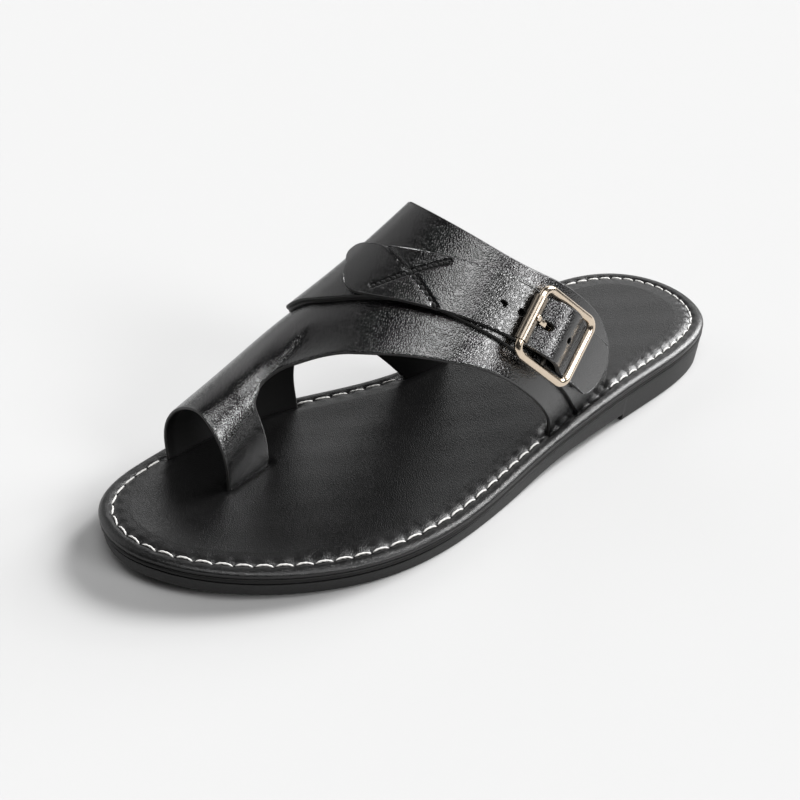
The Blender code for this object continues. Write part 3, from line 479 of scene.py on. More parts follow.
def closed_spline(points, count):
    """Periodic cubic spline through the points, read at count places."""
    points = np.asarray(points, float)
    steps = np.linalg.norm(np.roll(points, -1, axis=0) - points, axis=1)
    size = len(points)
    matrix = np.zeros((size, size))
    right = np.zeros((size, 2))
    for i in range(size):
        before, after = steps[i - 1], steps[i]
        matrix[i, i - 1] += after
        matrix[i, i] += 2.0 * (before + after)
        matrix[i, (i + 1) % size] += before
        chord_before = (points[i] - points[i - 1]) / before
        chord_after = (points[(i + 1) % size] - points[i]) / after
        right[i] = 3.0 * (after * chord_before + before * chord_after)
    slopes = np.linalg.solve(matrix, right)
    knots = np.concatenate(([0.0], np.cumsum(steps)))
    places = np.linspace(0.0, knots[-1], count, endpoint=False)
    k = np.clip(np.searchsorted(knots, places, side="right") - 1, 0, size - 1)
    share = ((places - knots[k]) / steps[k])[:, None]
    after = (k + 1) % size
    return cubic(points[k], points[after], slopes[k], slopes[after], steps[k][:, None], share)


def run_along(line):
    """Run along a line of points, from 0 at its start."""
    steps = np.linalg.norm(np.diff(line, axis=0), axis=1)
    return np.concatenate(([0.0], np.cumsum(steps)))


def resample(line, count):
    """Points at even steps along an open line, both ends kept."""
    run = run_along(line)
    places = np.linspace(0.0, run[-1], count)
    return np.stack([np.interp(places, run, line[:, k]) for k in range(line.shape[1])], axis=1)


def sole_outline():
    """Ring of points from the toe tip along the lateral side to the heel and back, and outward normals."""
    lateral = [(row.lateral, row.y) for row in OUTLINE]
    medial = [(row.medial, row.y) for row in reversed(OUTLINE)]
    dense = closed_spline([TOE_TIP, *lateral, HEEL_TIP, *medial], OUTLINE_FINENESS)
    toe = int(np.argmin(dense[:, 1]))
    dense = np.roll(dense, -toe, axis=0)
    heel = int(np.argmax(dense[:, 1]))
    outer = resample(dense[:heel + 1], SIDE_STEPS + 1)
    inner = resample(np.vstack((dense[heel:], dense[:1])), SIDE_STEPS + 1)
    ring = np.vstack((outer[:-1], inner[:-1]))
    along = np.roll(ring, -NORMAL_SPREAD, axis=0) - np.roll(ring, NORMAL_SPREAD, axis=0)
    normals = np.stack((along[:, 1], -along[:, 0]), axis=1)
    return ring, normals / np.linalg.norm(normals, axis=1)[:, None]


RING, RING_NORMALS = sole_outline()


def edge_x(y, side):
    """Sole edge at a station; side is -1 for medial and 1 for lateral."""
    half = RING[:SIDE_STEPS + 1] if side > 0 else np.vstack((RING[SIDE_STEPS:], RING[:1]))[::-1]
    return np.interp(y, half[:, 1], half[:, 0])


def offset_ring(offset):
    """The outline moved outwards by an offset, which may change from point to point."""
    return RING + RING_NORMALS * np.reshape(offset, (-1, 1))


def spine_of(plan):
    """For each point of a ring, the point of the sole's middle line that it closes to."""
    middle = (plan + np.roll(plan[::-1], 1, axis=0)) / 2
    half = middle[:SIDE_STEPS + 1]
    y = np.clip(middle[:, 1], half[0, 1] + SPINE_END, half[-1, 1] - SPINE_END)
    return np.column_stack((np.interp(y, half[:, 1], half[:, 0]), y))


def along_slot(y, front, rear):
    """Value that runs evenly from the front end of the toe slot to its rear end."""
    return front + (rear - front) * (y - LOOP_FRONT_INNER) / (LOOP_REAR_INNER - LOOP_FRONT_INNER)


def arch_section(y, loop):
    """Arch of the last at one station, from the medial base to the lateral base or to the toe slot."""
    value = {name: float(through_rows(LAST, "y", name, y)) for name in LastRow._fields[1:]}
    medial_x = edge_x(y, -1) + value["medial_inset"]
    fullness, bulge = value["lateral_fullness"], value["lateral_bulge"]
    lateral_x = edge_x(y, 1) - value["lateral_inset"]
    if loop:
        fullness = along_slot(y, LOOP_FRONT_FULLNESS, LOOP_REAR_FULLNESS)
        bulge = LOOP_BULGE
        lateral_x = along_slot(y, SLOT_FRONT_X, SLOT_REAR_X)
    angle = np.linspace(-math.pi / 2, math.pi / 2, ARCH_POINTS)
    side = np.sign(angle)
    power = 2.0 / np.where(side < 0, value["medial_fullness"], fullness)
    reach = np.where(side < 0, value["apex_x"] - medial_x, lateral_x - value["apex_x"])
    swell = np.where(side < 0, value["medial_bulge"], bulge)
    rise = np.clip(np.cos(angle), 0.0, 1.0) ** power
    x = value["apex_x"] + side * (reach * np.abs(np.sin(angle)) ** power + swell * np.sin(math.pi * rise))
    z = INSOLE_BOTTOM + STITCH_LEVEL + profile(y) + value["height"] * rise
    return np.column_stack((x, np.full_like(x, y), z))


class ArchTable:
    """The arches of the last, or of the toe loop, read at any station and share around."""

    def __init__(self, front, rear, loop):
        self.stations = np.linspace(front, rear, TABLE_STATIONS)
        sections = [arch_section(y, loop) for y in self.stations]
        self.girths = np.array([run_along(section)[-1] for section in sections])
        self.points = np.array([resample(section, TABLE_SHARES) for section in sections])

    def at(self, y, around):
        """Points at stations and shares around; past either base they go straight down."""
        y, around = np.broadcast_arrays(np.asarray(y, float), np.asarray(around, float))
        row = np.interp(y, self.stations, np.arange(TABLE_STATIONS))
        row = np.clip(row, 0, TABLE_STATIONS - LAST_CELL)
        column = np.clip(around, 0.0, 1.0) * (TABLE_SHARES - 1)
        column = np.clip(column, 0, TABLE_SHARES - LAST_CELL)
        i, j = row.astype(int), column.astype(int)
        s, t = (row - i)[..., None], (column - j)[..., None]
        near = self.points[i, j] * (1 - t) + self.points[i, j + 1] * t
        far = self.points[i + 1, j] * (1 - t) + self.points[i + 1, j + 1] * t
        point = near * (1 - s) + far * s
        past = np.maximum(np.maximum(-around, around - 1.0), 0.0)
        point[..., 2] -= past * self.girth(y)
        return point

    def girth(self, y):
        """Length of a section from base to base."""
        return np.interp(y, self.stations, self.girths)


FOOT = ArchTable(TABLE_FRONT, TABLE_REAR, False)
TOE = ArchTable(LOOP_FRONT_MEDIAL - TABLE_MARGIN, LOOP_REAR_INNER + TABLE_MARGIN, True)
LEG_DROP = STITCH_LEVEL - LEG_END


def unit(vectors):
    """Vectors of length 1."""
    return vectors / np.linalg.norm(vectors, axis=-1)[..., None]


def grid_normals(grid):
    """Unit normals of a grid of points, turned away from the foot."""
    normals = unit(np.cross(np.gradient(grid, axis=1), np.gradient(grid, axis=0)))
    middle = grid.shape[1] // 2
    return normals if normals[:, middle, 2].mean() > 0 else -normals


def upright_legs(normals, arounds, girths):
    """Turn the normals level near both bases, where the leather stands in the footbed's slots."""
    to_base = np.minimum(np.maximum(arounds, 0.0), np.maximum(1.0 - arounds, 0.0)) * girths
    keep = smoothstep(to_base / LEG_BLEND)
    flat = unit(normals * (1.0, 1.0, 0.0))
    return unit(flat * (1 - keep[..., None]) + normals * keep[..., None])


def with_legs(shares, girth):
    """Add places below both bases to a row of shares around, down to the legs' ends."""
    down = np.arange(LEG_ROWS, 0, -1) / LEG_ROWS * LEG_DROP / girth
    return np.concatenate((-down, shares, 1.0 + down[::-1]))


def line_distance(points, line):
    """Distance from each point to a line of points, both in the same number of dimensions."""
    best = np.full(points.shape[:-1], np.inf)
    for a, b in zip(line[:-1], line[1:]):
        step = b - a
        share = np.clip(((points - a) @ step) / (step @ step), 0.0, 1.0)
        best = np.minimum(best, np.linalg.norm(points - a - share[..., None] * step, axis=-1))
    return best


class Wire:
    """One output of the nodes of a finish; arithmetic on it adds Math nodes."""

    def __init__(self, finish, socket):
        self.finish = finish
        self.socket = socket

    def math(self, operation, first, second):
        """Add a Math node."""
        return self.finish.add("ShaderNodeMath", {"operation": operation}, {0: first, 1: second})

    def __add__(self, other):
        return self.math("ADD", self, other)

    __radd__ = __add__

    def __mul__(self, other):
        return self.math("MULTIPLY", self, other)

    __rmul__ = __mul__


class Nodes:
    """A node tree in the making."""

    def __init__(self, tree):
        self.tree = tree

    def add(self, kind, settings=None, sockets=None, output=0):
        """Add a node: settings first, then the values or links of its sockets; gives one output."""
        node = self.tree.nodes.new(kind)
        for name, value in (settings or {}).items():
            setattr(node, name, value)
        for name, value in (sockets or {}).items():
            self.feed(node.inputs[name], value)
        return Wire(self, node.outputs[output])

    def climb(self, value, start, end):
        """Smooth ramp from 0 where a value is at its start to 1 where it is at its end."""
        values = {"Value": value, "From Min": start, "From Max": end}
        return self.add("ShaderNodeMapRange", {"interpolation_type": "SMOOTHSTEP"}, values)

    def feed(self, socket, value):
        """Link a wire to a socket, or set the socket's own value."""
        if isinstance(value, Wire):
            self.tree.links.new(value.socket, socket)
        else:
            socket.default_value = value


class Finish(Nodes):
    """A finish in the making: its nodes and its one Principled shader."""

    def __init__(self, name):
        self.material = bpy.data.materials.new(name)
        self.material.use_nodes = True
        super().__init__(self.material.node_tree)
        self.shader = self.tree.nodes["Principled BSDF"]

    def place(self):
        """Object coordinates."""
        return self.add("ShaderNodeTexCoord", output="Object")

    def noise(self, scale, detail=2.0, roughness=0.5):
        """Noise from 0 to 1 at a number of cells in a metre."""
        values = {"Vector": self.place(), "Scale": scale, "Detail": detail, "Roughness": roughness}
        return self.add("ShaderNodeTexNoise", None, values)

    def pebbles(self, scale, valley):
        """Height from 0 in the valleys between irregular pebbles to 1 on their flat tops."""
        values = {"Vector": self.place(), "Scale": scale}
        to_edge = self.add("ShaderNodeTexVoronoi", {"feature": "DISTANCE_TO_EDGE"}, values, "Distance")
        return self.climb(to_edge, 0.0, valley)

    def mix(self, share, first, second):
        """Blend of two colours."""
        values = {"Factor": share, 6: first, 7: second}
        return self.add("ShaderNodeMix", {"data_type": "RGBA"}, values, 2)

    def bump(self, height, depth):
        """Normal of a relief of a depth in metres."""
        return self.add("ShaderNodeBump", None, {"Height": height, "Distance": depth, "Strength": 1.0})

    def set(self, **sockets):
        """Feed the shader's sockets; an underscore stands for a space in a socket's name."""
        for name, value in sockets.items():
            self.feed(self.shader.inputs[name.replace("_", " ")], value)
        return self.material


def colour(red, green, blue):
    """Opaque colour for a socket."""
    return (red, green, blue, 1.0)


def grain_leather():
    """Black corrected leather with a raised pebble grain and a satin shine."""
    finish = Finish("grain_leather")
    fine = finish.pebbles(1350.0, 0.35)
    coarse = finish.pebbles(800.0, 0.30)
    broad = finish.noise(70.0, 3.0)
    tone = finish.mix(broad, colour(0.0018, 0.0018, 0.0020), colour(0.0034, 0.0033, 0.0034))
    return finish.set(
        Base_Color=tone,
        Roughness=0.17 + broad * 0.05,
        Normal=finish.bump(fine * 0.65 + coarse * 0.35, 0.00006),
        Specular_IOR_Level=1.0,
    )


def footbed_leather():
    """Smooth black lining leather of the footbed, fine grained, with a soft shine."""
    finish = Finish("footbed_leather")
    fine = finish.pebbles(1500.0, 0.35)
    coarse = finish.pebbles(800.0, 0.30)
    broad = finish.noise(45.0, 3.0)
    tone = finish.mix(broad, colour(0.0015, 0.0015, 0.0017), colour(0.0030, 0.0029, 0.0029))
    return finish.set(
        Base_Color=tone,
        Roughness=0.27 + broad * 0.08,
        Normal=finish.bump(fine * 0.8 + coarse * 0.2, 0.00005),
        Specular_IOR_Level=0.5,
    )


def lining_leather():
    """Plain dull lining on the inside of the upper."""
    finish = Finish("lining_leather")
    fine = finish.noise(2600.0, 3.0)
    broad = finish.noise(60.0, 2.0)
    return finish.set(
        Base_Color=finish.mix(broad, colour(0.0030, 0.0030, 0.0031), colour(0.0055, 0.0053, 0.0053)),
        Roughness=0.60 + fine * 0.12,
        Normal=finish.bump(fine, 0.00004),
        Specular_IOR_Level=0.22,
    )


def cut_edge(name, low, high):
    """Painted cut edge of the leather, a little lighter where the paint is thin."""
    finish = Finish(name)
    fibres = finish.noise(2400.0, 3.0)
    broad = finish.noise(140.0, 2.0)
    return finish.set(
        Base_Color=finish.mix(broad, low, high),
        Roughness=0.42 + fibres * 0.15,
        Normal=finish.bump(fibres, 0.00005),
        Specular_IOR_Level=0.5,
    )


def bead_leather():
    """Smooth wrapped strip between the footbed and the outsole."""
    finish = Finish("bead_leather")
    fine = finish.noise(2000.0, 3.0)
    broad = finish.noise(60.0, 2.0)
    return finish.set(
        Base_Color=finish.mix(broad, colour(0.0030, 0.0030, 0.0031), colour(0.0060, 0.0058, 0.0057)),
        Roughness=0.42 + fine * 0.12,
        Normal=finish.bump(fine, 0.00004),
        Specular_IOR_Level=0.25,
    )


def sole_rubber():
    """Matte moulded rubber with a fine sanded texture."""
    finish = Finish("sole_rubber")
    sand = finish.noise(1500.0, 4.0, 0.65)
    broad = finish.noise(55.0, 3.0)
    return finish.set(
        Base_Color=finish.mix(broad, colour(0.0050, 0.0050, 0.0052), colour(0.0090, 0.0088, 0.0086)),
        Roughness=0.48 + sand * 0.16,
        Normal=finish.bump(sand, 0.00018),
        Specular_IOR_Level=0.45,
    )


def thread(name, low, high):
    """Twisted waxed thread."""
    finish = Finish(name)
    fibres = finish.noise(5200.0, 3.0)
    return finish.set(
        Base_Color=finish.mix(fibres, low, high),
        Roughness=0.62 + fibres * 0.20,
        Normal=finish.bump(fibres, 0.00006),
        Sheen_Weight=0.15,
    )


def champagne_gold(name, low, high, dullness):
    """Pale gold plating with faint brush marks and a few dull spots."""
    finish = Finish(name)
    marks = finish.noise(3000.0, 4.0, 0.6)
    spots = finish.noise(380.0, 3.0)
    return finish.set(
        Base_Color=finish.mix(spots, low, high),
        Metallic=1.0,
        Roughness=dullness + marks * 0.05 + spots * 0.06,
        Normal=finish.bump(marks, 0.000006),
    )


def dark_bar():
    """Near-black metal on the centre bar: painted shade, standing in for the shadow that the bar lies in
    beside and under the strap.
    """
    finish = Finish("dark_bar")
    marks = finish.noise(2200.0, 3.0)
    return finish.set(
        Base_Color=finish.mix(marks, colour(0.030, 0.028, 0.025), colour(0.055, 0.050, 0.044)),
        Metallic=1.0,
        Roughness=0.40 + marks * 0.15,
    )


def pale_floor():
    """Plain pale studio floor."""
    finish = Finish("pale_floor")
    return finish.set(
        Base_Color=colour(0.45, 0.45, 0.45),
        Roughness=0.9,
        Specular_IOR_Level=0.1,
    )


def bend_grid(shape, points, outward=None):
    """Add a flat grid to a shape and bend it through points, with the ways to the outer skin."""
    rows, columns = points.shape[0] - 1, points.shape[1] - 1
    made = bmesh.ops.create_grid(shape, x_segments=columns, y_segments=rows, size=0.5)["verts"]
    layer = None if outward is None else shape.verts.layers.float_vector["outward"]
    table = {}
    for vert in made:
        i = round((vert.co.y + 0.5) * rows)
        j = round((vert.co.x + 0.5) * columns)
        vert.co = points[i, j]
        table[i, j] = vert
        if layer is not None:
            vert[layer] = outward[i, j]
    return table


def weld(shape, distance=WELD):
    """Merge doubled vertices and drop the faces that this flattens."""
    bmesh.ops.remove_doubles(shape, verts=shape.verts[:], dist=distance)
    bmesh.ops.dissolve_degenerate(shape, edges=shape.edges[:], dist=distance / 10)


def wrapped(rows):
    """Shape through rings of points round the sole, each closed on itself."""
    points = np.array(rows)
    shape = bmesh.new()
    bend_grid(shape, np.concatenate((points, points[:, :1]), axis=1))
    weld(shape)
    return shape


def mesh_of(name, shape):
    """Mesh of a finished shape."""
    mesh = bpy.data.meshes.new(name)
    shape.to_mesh(mesh)
    shape.free()
    return mesh


def add_object(name, data):
    """Put a mesh or a camera into the scene."""
    thing = bpy.data.objects.new(name, data)
    bpy.context.scene.collection.objects.link(thing)
    return thing


def new_piece(name, shape, finishes, replaced=None, sharp=None):
    """Make a shape a piece of the sandal that rides on the frame."""
    bmesh.ops.recalc_face_normals(shape, faces=shape.faces[:])
    mesh = mesh_of(name, shape)
    mesh.shade_smooth()
    if sharp:
        mesh.set_sharp_from_angle(angle=math.radians(sharp))
    for finish in finishes:
        mesh.materials.append(finish)
    thing = add_object(name, mesh)
    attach(thing, "root")
    if replaced:
        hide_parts(replaced)
    return thing


def rim_shape(through, grooved):
    """How far a rim stands out at a share through the leather: rounded, or with a groove as well."""
    from_middle = abs(2.0 * through - 1.0)
    out = -RIM_ROUND * (1.0 - math.sqrt(max(1.0 - from_middle ** RIM_POWER, 0.0)))
    if grooved:
        out -= RIM_GROOVE * math.exp(-((through - 0.5) / RIM_GROOVE_WIDTH) ** 2)
    return out


def leather_sheet(shape, grooved):
    """Turn an inner skin into leather: add its outer skin and a rim, less rounded where it is tight."""
    outward = shape.verts.layers.float_vector["outward"]
    level = shape.verts.layers.float.new("level")
    rimward = shape.verts.layers.float_vector.new("rimward")
    for edge in shape.edges:
        if edge.is_boundary:
            first, second = edge.verts
            along = (second.co - first.co).normalized()
            out = (first.co + second.co) / 2 - edge.link_faces[0].calc_center_median()
            out -= along * out.dot(along)
            for vert in edge.verts:
                vert[rimward] = vert[rimward] + out.normalized()
    tight = shape.verts.layers.float["tight"]
    for vert in shape.verts:
        vert[rimward] = vert[rimward].normalized() * (1.0 - TIGHT_SHARE * vert[tight])
    made = bmesh.ops.extrude_face_region(shape, geom=shape.faces[:])["geom"]
    for vert in made:
        if isinstance(vert, bmesh.types.BMVert):
            vert[level] = 1.0
            vert.co += vert[outward]
    sides = [edge for edge in shape.edges if edge.verts[0][level] != edge.verts[1][level]]
    bmesh.ops.subdivide_edges(shape, edges=sides, cuts=RIM_CUTS)
    for vert in shape.verts:
        vert.co += vert[rimward] * rim_shape(vert[level], grooved)
    for face in shape.faces:
        levels = [vert[level] for vert in face.verts]
        face.material_index = 0 if min(levels) > OUTER_SKIN else 1 if max(levels) < INNER_SKIN else 2
    for name in ("rimward", "outward"):
        shape.verts.layers.float_vector.remove(shape.verts.layers.float_vector[name])
    for name in ("level", "tight"):
        shape.verts.layers.float.remove(shape.verts.layers.float[name])


def new_sheet():
    """Empty shape for leather, ready to take the ways from its inner to its outer skin."""
    shape = bmesh.new()
    shape.verts.layers.float_vector.new("outward")
    shape.verts.layers.float.new("tight")
    return shape


def smooth_edge(rows, count):
    """Smooth line through the rows of an edge profile, at even steps."""
    line = np.array(rows)
    run = run_along(line)
    places = np.linspace(0.0, run[-1], count)
    return [EdgeRow(*pair) for pair in zip(*(hermite(run, line[:, k], places) for k in range(2)))]


def sole_layer(edge, bottom, top_rows, relief=None):
    """Closed layer of the sole: rings up its edge, closed to the middle line below and above."""
    first, last = offset_ring(edge[0].offset), offset_ring(edge[-1].offset)
    plans = [spine_of(first) + (first - spine_of(first)) * share for share in UNDERSIDE_SHARES]
    heights = [edge[0].height] * len(plans)
    offsets = [edge[0].offset - SPINE_OFFSET] * len(plans)
    for row in edge:
        plans.append(offset_ring(row.offset))
        heights.append(row.height)
        offsets.append(row.offset)
    for share in np.linspace(0.0, 1.0, top_rows + 1)[1:]:
        plans.append(last + (spine_of(last) - last) * share)
        heights.append(edge[-1].height)
        offsets.append(edge[-1].offset - SPINE_OFFSET * share)
    rows = []
    for plan, height, offset in zip(plans, heights, offsets):
        z = bottom + height + profile(plan[:, 1])
        if relief is not None and len(rows) > len(UNDERSIDE_SHARES):
            z = z + relief(plan, offset)
        rows.append(np.column_stack((plan, z)))
    return wrapped(rows)


def slot_lines():
    """Middle lines, in plan, of the leather legs that stand in the footbed."""
    legs = (
        (FOOT, 0.0, LOOP_FRONT_MEDIAL, VAMP_REAR[0].y, LEATHER / 2),
        (TOE, 1.0, LOOP_FRONT_INNER, LOOP_REAR_INNER, LEATHER / 2),
        (FOOT, 0.0, BAND[0].front, BAND[0].rear, BAND_LIFT + LEATHER / 2),
        (FOOT, 1.0, VAMP_FRONT[-1].y, BAND[-1].front, LEATHER / 2),
        (FOOT, 1.0, BAND[-1].front, BAND[-1].rear, BAND_LIFT + LEATHER / 2),
    )
    lines = []
    for table, around, front, rear, out in legs:
        line = table.at(np.linspace(front, rear, SLOT_POINTS), around)[:, :2]
        along = np.gradient(line, axis=0)
        away = unit(np.stack((along[:, 1], -along[:, 0]), axis=1)) * (1.0 if around > 0.5 else -1.0)
        lines.append(line + away * out)
    return lines


def stitch_phase():
    """Count of stitches from the toe to each point of the stitched ring, whole after one turn."""
    middle = (STITCH_RING[1:, 1] + STITCH_RING[:-1, 1]) / 2
    steps = np.diff(STITCH_RUN) / through_rows(STITCH_PITCH, "y", "pitch", middle)
    phase = np.concatenate(([0.0], np.cumsum(steps)))
    return phase * round(phase[-1]) / phase[-1]


SLOT_LINES = slot_lines()
STITCH_RING = np.vstack((offset_ring(STITCH_OFFSET), offset_ring(STITCH_OFFSET)[:1]))
STITCH_RUN = run_along(STITCH_RING)
STITCH_PHASE = stitch_phase()
STITCH_COUNT = round(STITCH_PHASE[-1])


def wave_over(plan, wave):
    """Height from -1 to 1 of a wave over the plan."""
    return np.sin(wave.by_x * plan[:, 0] + wave.by_y * plan[:, 1] + wave.phase)


def footbed_relief(plan, offset):
    """Puckers along the stitches, a soft unevenness of the padding, and dips where the upper goes in."""
    beat = np.cos(2 * math.pi * STITCH_PHASE[:-1])
    prick = np.maximum(beat, 0.0) ** NEEDLE_SHARPNESS
    height = 0.0
    for relief, share in ((GROOVE, 0.5 + 0.5 * beat), (NEEDLE_HOLE, prick), (PUCKER, beat), (ROLL, beat)):
        height = height - relief.depth * share * bell(offset - STITCH_OFFSET - relief.aside, relief.reach)
    uneven = wave_over(plan, BROAD_WAVE) * wave_over(plan, CROSSING_WAVE)
    uneven = uneven + FINE_WAVE_SHARE * wave_over(plan, FINE_WAVE)
    height = height + UNEVEN_DEPTH * uneven * smoothstep((UNEVEN_START - offset) / UNEVEN_RUN)
    dip = np.zeros(len(plan))
    for line in SLOT_LINES:
        dip = np.maximum(dip, bell(line_distance(plan, line), SLOT_DIP_REACH))
    return height - SLOT_DIP * dip


def make_footbed(finishes):
    """Padded leather footbed with its rolled and stitched edge."""
    edge = smooth_edge(INSOLE_EDGE, INSOLE_EDGE_ROWS)
    shape = sole_layer(edge, INSOLE_BOTTOM, INSOLE_TOP_ROWS, footbed_relief)
    return new_piece("padded_footbed", shape, finishes, "insole")


def make_bead(finishes):
    """Wrapped bead between the footbed and the outsole."""
    edge = smooth_edge(MIDSOLE_EDGE, MIDSOLE_EDGE_ROWS)
    shape = sole_layer(edge, MIDSOLE_BOTTOM, MIDSOLE_TOP_ROWS)
    return new_piece("wrapped_bead", shape, finishes, "midsole")


def make_outsole(finishes):
    """Moulded outsole: flat forefoot, raised arch and a low heel behind its breast line."""
    breast = int(np.argmin(np.abs(RING[:SIDE_STEPS, 1] - BREAST_Y)))
    index = np.arange(2 * SIDE_STEPS)
    heel = np.minimum(index, 2 * SIDE_STEPS - index) >= breast
    top_plan = offset_ring(OUTSOLE_TOP_OFFSET)
    low_plan = offset_ring(np.where(heel, OUTSOLE_HEEL_OFFSET, OUTSOLE_FOOT_OFFSET))
    low_z = np.where(heel, 0.0, arch_bottom(low_plan[:, 1]))
    top_z = OUTSOLE_TOP + profile(top_plan[:, 1])
    rows = []
    low_spine, top_spine = spine_of(low_plan), spine_of(top_plan)
    for share in np.arange(OUTSOLE_FLOOR_ROWS) / OUTSOLE_FLOOR_ROWS:
        plan = low_spine + (low_plan - low_spine) * share
        rows.append(np.column_stack((plan, np.where(heel, 0.0, arch_bottom(plan[:, 1])))))
    for row in WALL:
        plan = low_plan + (top_plan - low_plan) * row.rise - RING_NORMALS * row.inset
        rows.append(np.column_stack((plan, low_z + (top_z - low_z) * row.rise)))
    for share in OUTSOLE_TOP_SHARES:
        plan = top_plan + (top_spine - top_plan) * share
        rows.append(np.column_stack((plan, OUTSOLE_TOP + profile(plan[:, 1]))))
    return new_piece("moulded_outsole", wrapped(rows), finishes, "outsole", sharp=45)


def skived(points, out, to_rim, share):
    """Inner skin of the leather and the way to its outer skin, thinned from inside towards a free edge."""
    thin = SKIVE_SHARE * share * (1.0 - smoothstep(to_rim / SKIVE_WIDTH))
    return points + out * (LEATHER * thin)[..., None], out * (LEATHER * (1.0 - thin))[..., None]


def front_surface():
    """Tables of the inner skin, and of the ways to the outer one, for the toe loop and for the vamp."""
    shared = np.linspace(0.0, LOOP_CORNER, SHARED_COLUMNS + 1)
    inner = np.linspace(LOOP_CORNER, 1.0, INNER_COLUMNS + 1)
    ways = with_legs(np.concatenate((shared, inner[1:])), float(TOE.girth(LOOP_REAR)))
    way = np.clip(ways, 0.0, 1.0)
    front = LOOP_FRONT_MEDIAL + (LOOP_FRONT_INNER - LOOP_FRONT_MEDIAL) * way
    past = smoothstep((way - LOOP_CORNER) / (1.0 - LOOP_CORNER))
    rear = LOOP_REAR + (LOOP_REAR_INNER - LOOP_REAR) * past
    part = np.linspace(0.0, 1.0, LOOP_ROWS + 1)[:, None]
    loop_y = front + (rear - front) * part
    loop_rim = loop_y - front
    loop = TOE.at(loop_y, ways)
    loop_out = upright_legs(grid_normals(loop), ways + 0 * part, TOE.girth(loop_y))

    girth_share = float(TOE.girth(LOOP_REAR) / FOOT.girth(LOOP_REAR))
    corner = AroundRow(LOOP_CORNER * girth_share, LOOP_REAR)
    free = np.linspace(corner.around, 1.0, VAMP_COLUMNS + 1)
    arounds = with_legs(np.concatenate((shared * girth_share, free[1:])), float(FOOT.girth(LOOP_REAR)))
    joined = SHARED_COLUMNS + 1 + LEG_ROWS
    arounds[:LEG_ROWS] = ways[:LEG_ROWS] * girth_share
    around = np.clip(arounds, 0.0, 1.0)
    front = through_rows([corner, *VAMP_FRONT], "around", "y", around)
    front[:joined] = LOOP_REAR
    rear = through_rows(VAMP_REAR, "around", "y", around)
    part = np.linspace(0.0, 1.0, VAMP_ROWS + 1)[:, None]
    vamp_y = front + (rear - front) * part
    vamp = FOOT.at(vamp_y, arounds)
    misfit = np.empty((len(arounds), 3))
    misfit[:joined] = loop[-1, :joined] - FOOT.at(LOOP_REAR, arounds[:joined])
    misfit[joined:] = misfit[joined - 1]
    fade = 1.0 - smoothstep((around - corner.around) / (1.0 - corner.around) / LOOP_FADE)
    blend = np.where(around <= corner.around, 1.0, fade) * (1.0 - smoothstep(part / LOOP_BLEND))
    vamp = vamp + misfit * blend[..., None]
    vamp_out = upright_legs(grid_normals(vamp), arounds + 0 * part, FOOT.girth(vamp_y))
    seam = unit(loop_out[-1, :joined] + vamp_out[0, :joined])
    loop_out[-1, :joined] = seam
    vamp_out[0, :joined] = seam
    free_edge = smoothstep((around - corner.around) / SKIVE_START)
    return skived(loop, loop_out, loop_rim, 1.0), skived(vamp, vamp_out, vamp_y - front, free_edge)


def soften_notch(shape, corner):
    """Round the notch in the free edge at a corner, each vertex drawn to its neighbours in turn."""
    near = [vert for vert in shape.verts if (vert.co - corner).length < NOTCH_REACH]
    for _ in range(NOTCH_ROUNDS):
        places = []
        for vert in near:
            edges = [edge for edge in vert.link_edges if edge.is_boundary] or vert.link_edges
            others = [edge.other_vert(vert).co for edge in edges]
            places.append(vert.co.lerp(sum(others, Vector()) / len(others), NOTCH_PULL))
        for vert, place in zip(near, places):
            vert.co = place


def make_vamp(finishes):
    """Vamp and big-toe loop, cut from one piece of leather."""
    shape = new_sheet()
    (loop, loop_way), (vamp, vamp_way) = front_surface()
    bend_grid(shape, loop, loop_way)
    bend_grid(shape, vamp, vamp_way)
    weld(shape, WELD_WIDE)
    soften_notch(shape, Vector(loop[-1, LEG_ROWS + SHARED_COLUMNS]))
    leather_sheet(shape, False)
    return new_piece("vamp_with_toe_loop", shape, finishes, "upper")


def make_band(finishes):
    """Wide instep band that crosses over the vamp."""
    arounds = with_legs(np.linspace(0.0, 1.0, BAND_COLUMNS + 1), float(FOOT.girth(BAND_LEG_Y)))
    around = np.clip(arounds, 0.0, 1.0)
    front = through_rows(BAND, "around", "front", around)
    rear = through_rows(BAND, "around", "rear", around)
    y = front + (rear - front) * np.linspace(0.0, 1.0, BAND_ROWS + 1)[:, None]
    grid = FOOT.at(y, arounds)
    out = upright_legs(grid_normals(grid), arounds + 0 * y, FOOT.girth(y))
    pad = BAND_PAD * smoothstep(np.minimum(around, 1.0 - around) / BAND_PAD_RISE)
    shape = new_sheet()
    bend_grid(shape, grid + out * BAND_LIFT, out * (LEATHER + pad)[:, None])
    leather_sheet(shape, True)
    return new_piece("instep_band", shape, finishes, "upper")


def foot_axes(y, around):
    """Point of the last, its slopes by share around and by y, and its outward direction."""
    by_around = (FOOT.at(y, around + STEP_AROUND) - FOOT.at(y, around - STEP_AROUND)) / (2 * STEP_AROUND)
    by_y = (FOOT.at(y + STEP_ALONG, around) - FOOT.at(y - STEP_ALONG, around)) / (2 * STEP_ALONG)
    return FOOT.at(y, around), by_around, by_y, unit(np.cross(by_around, by_y))


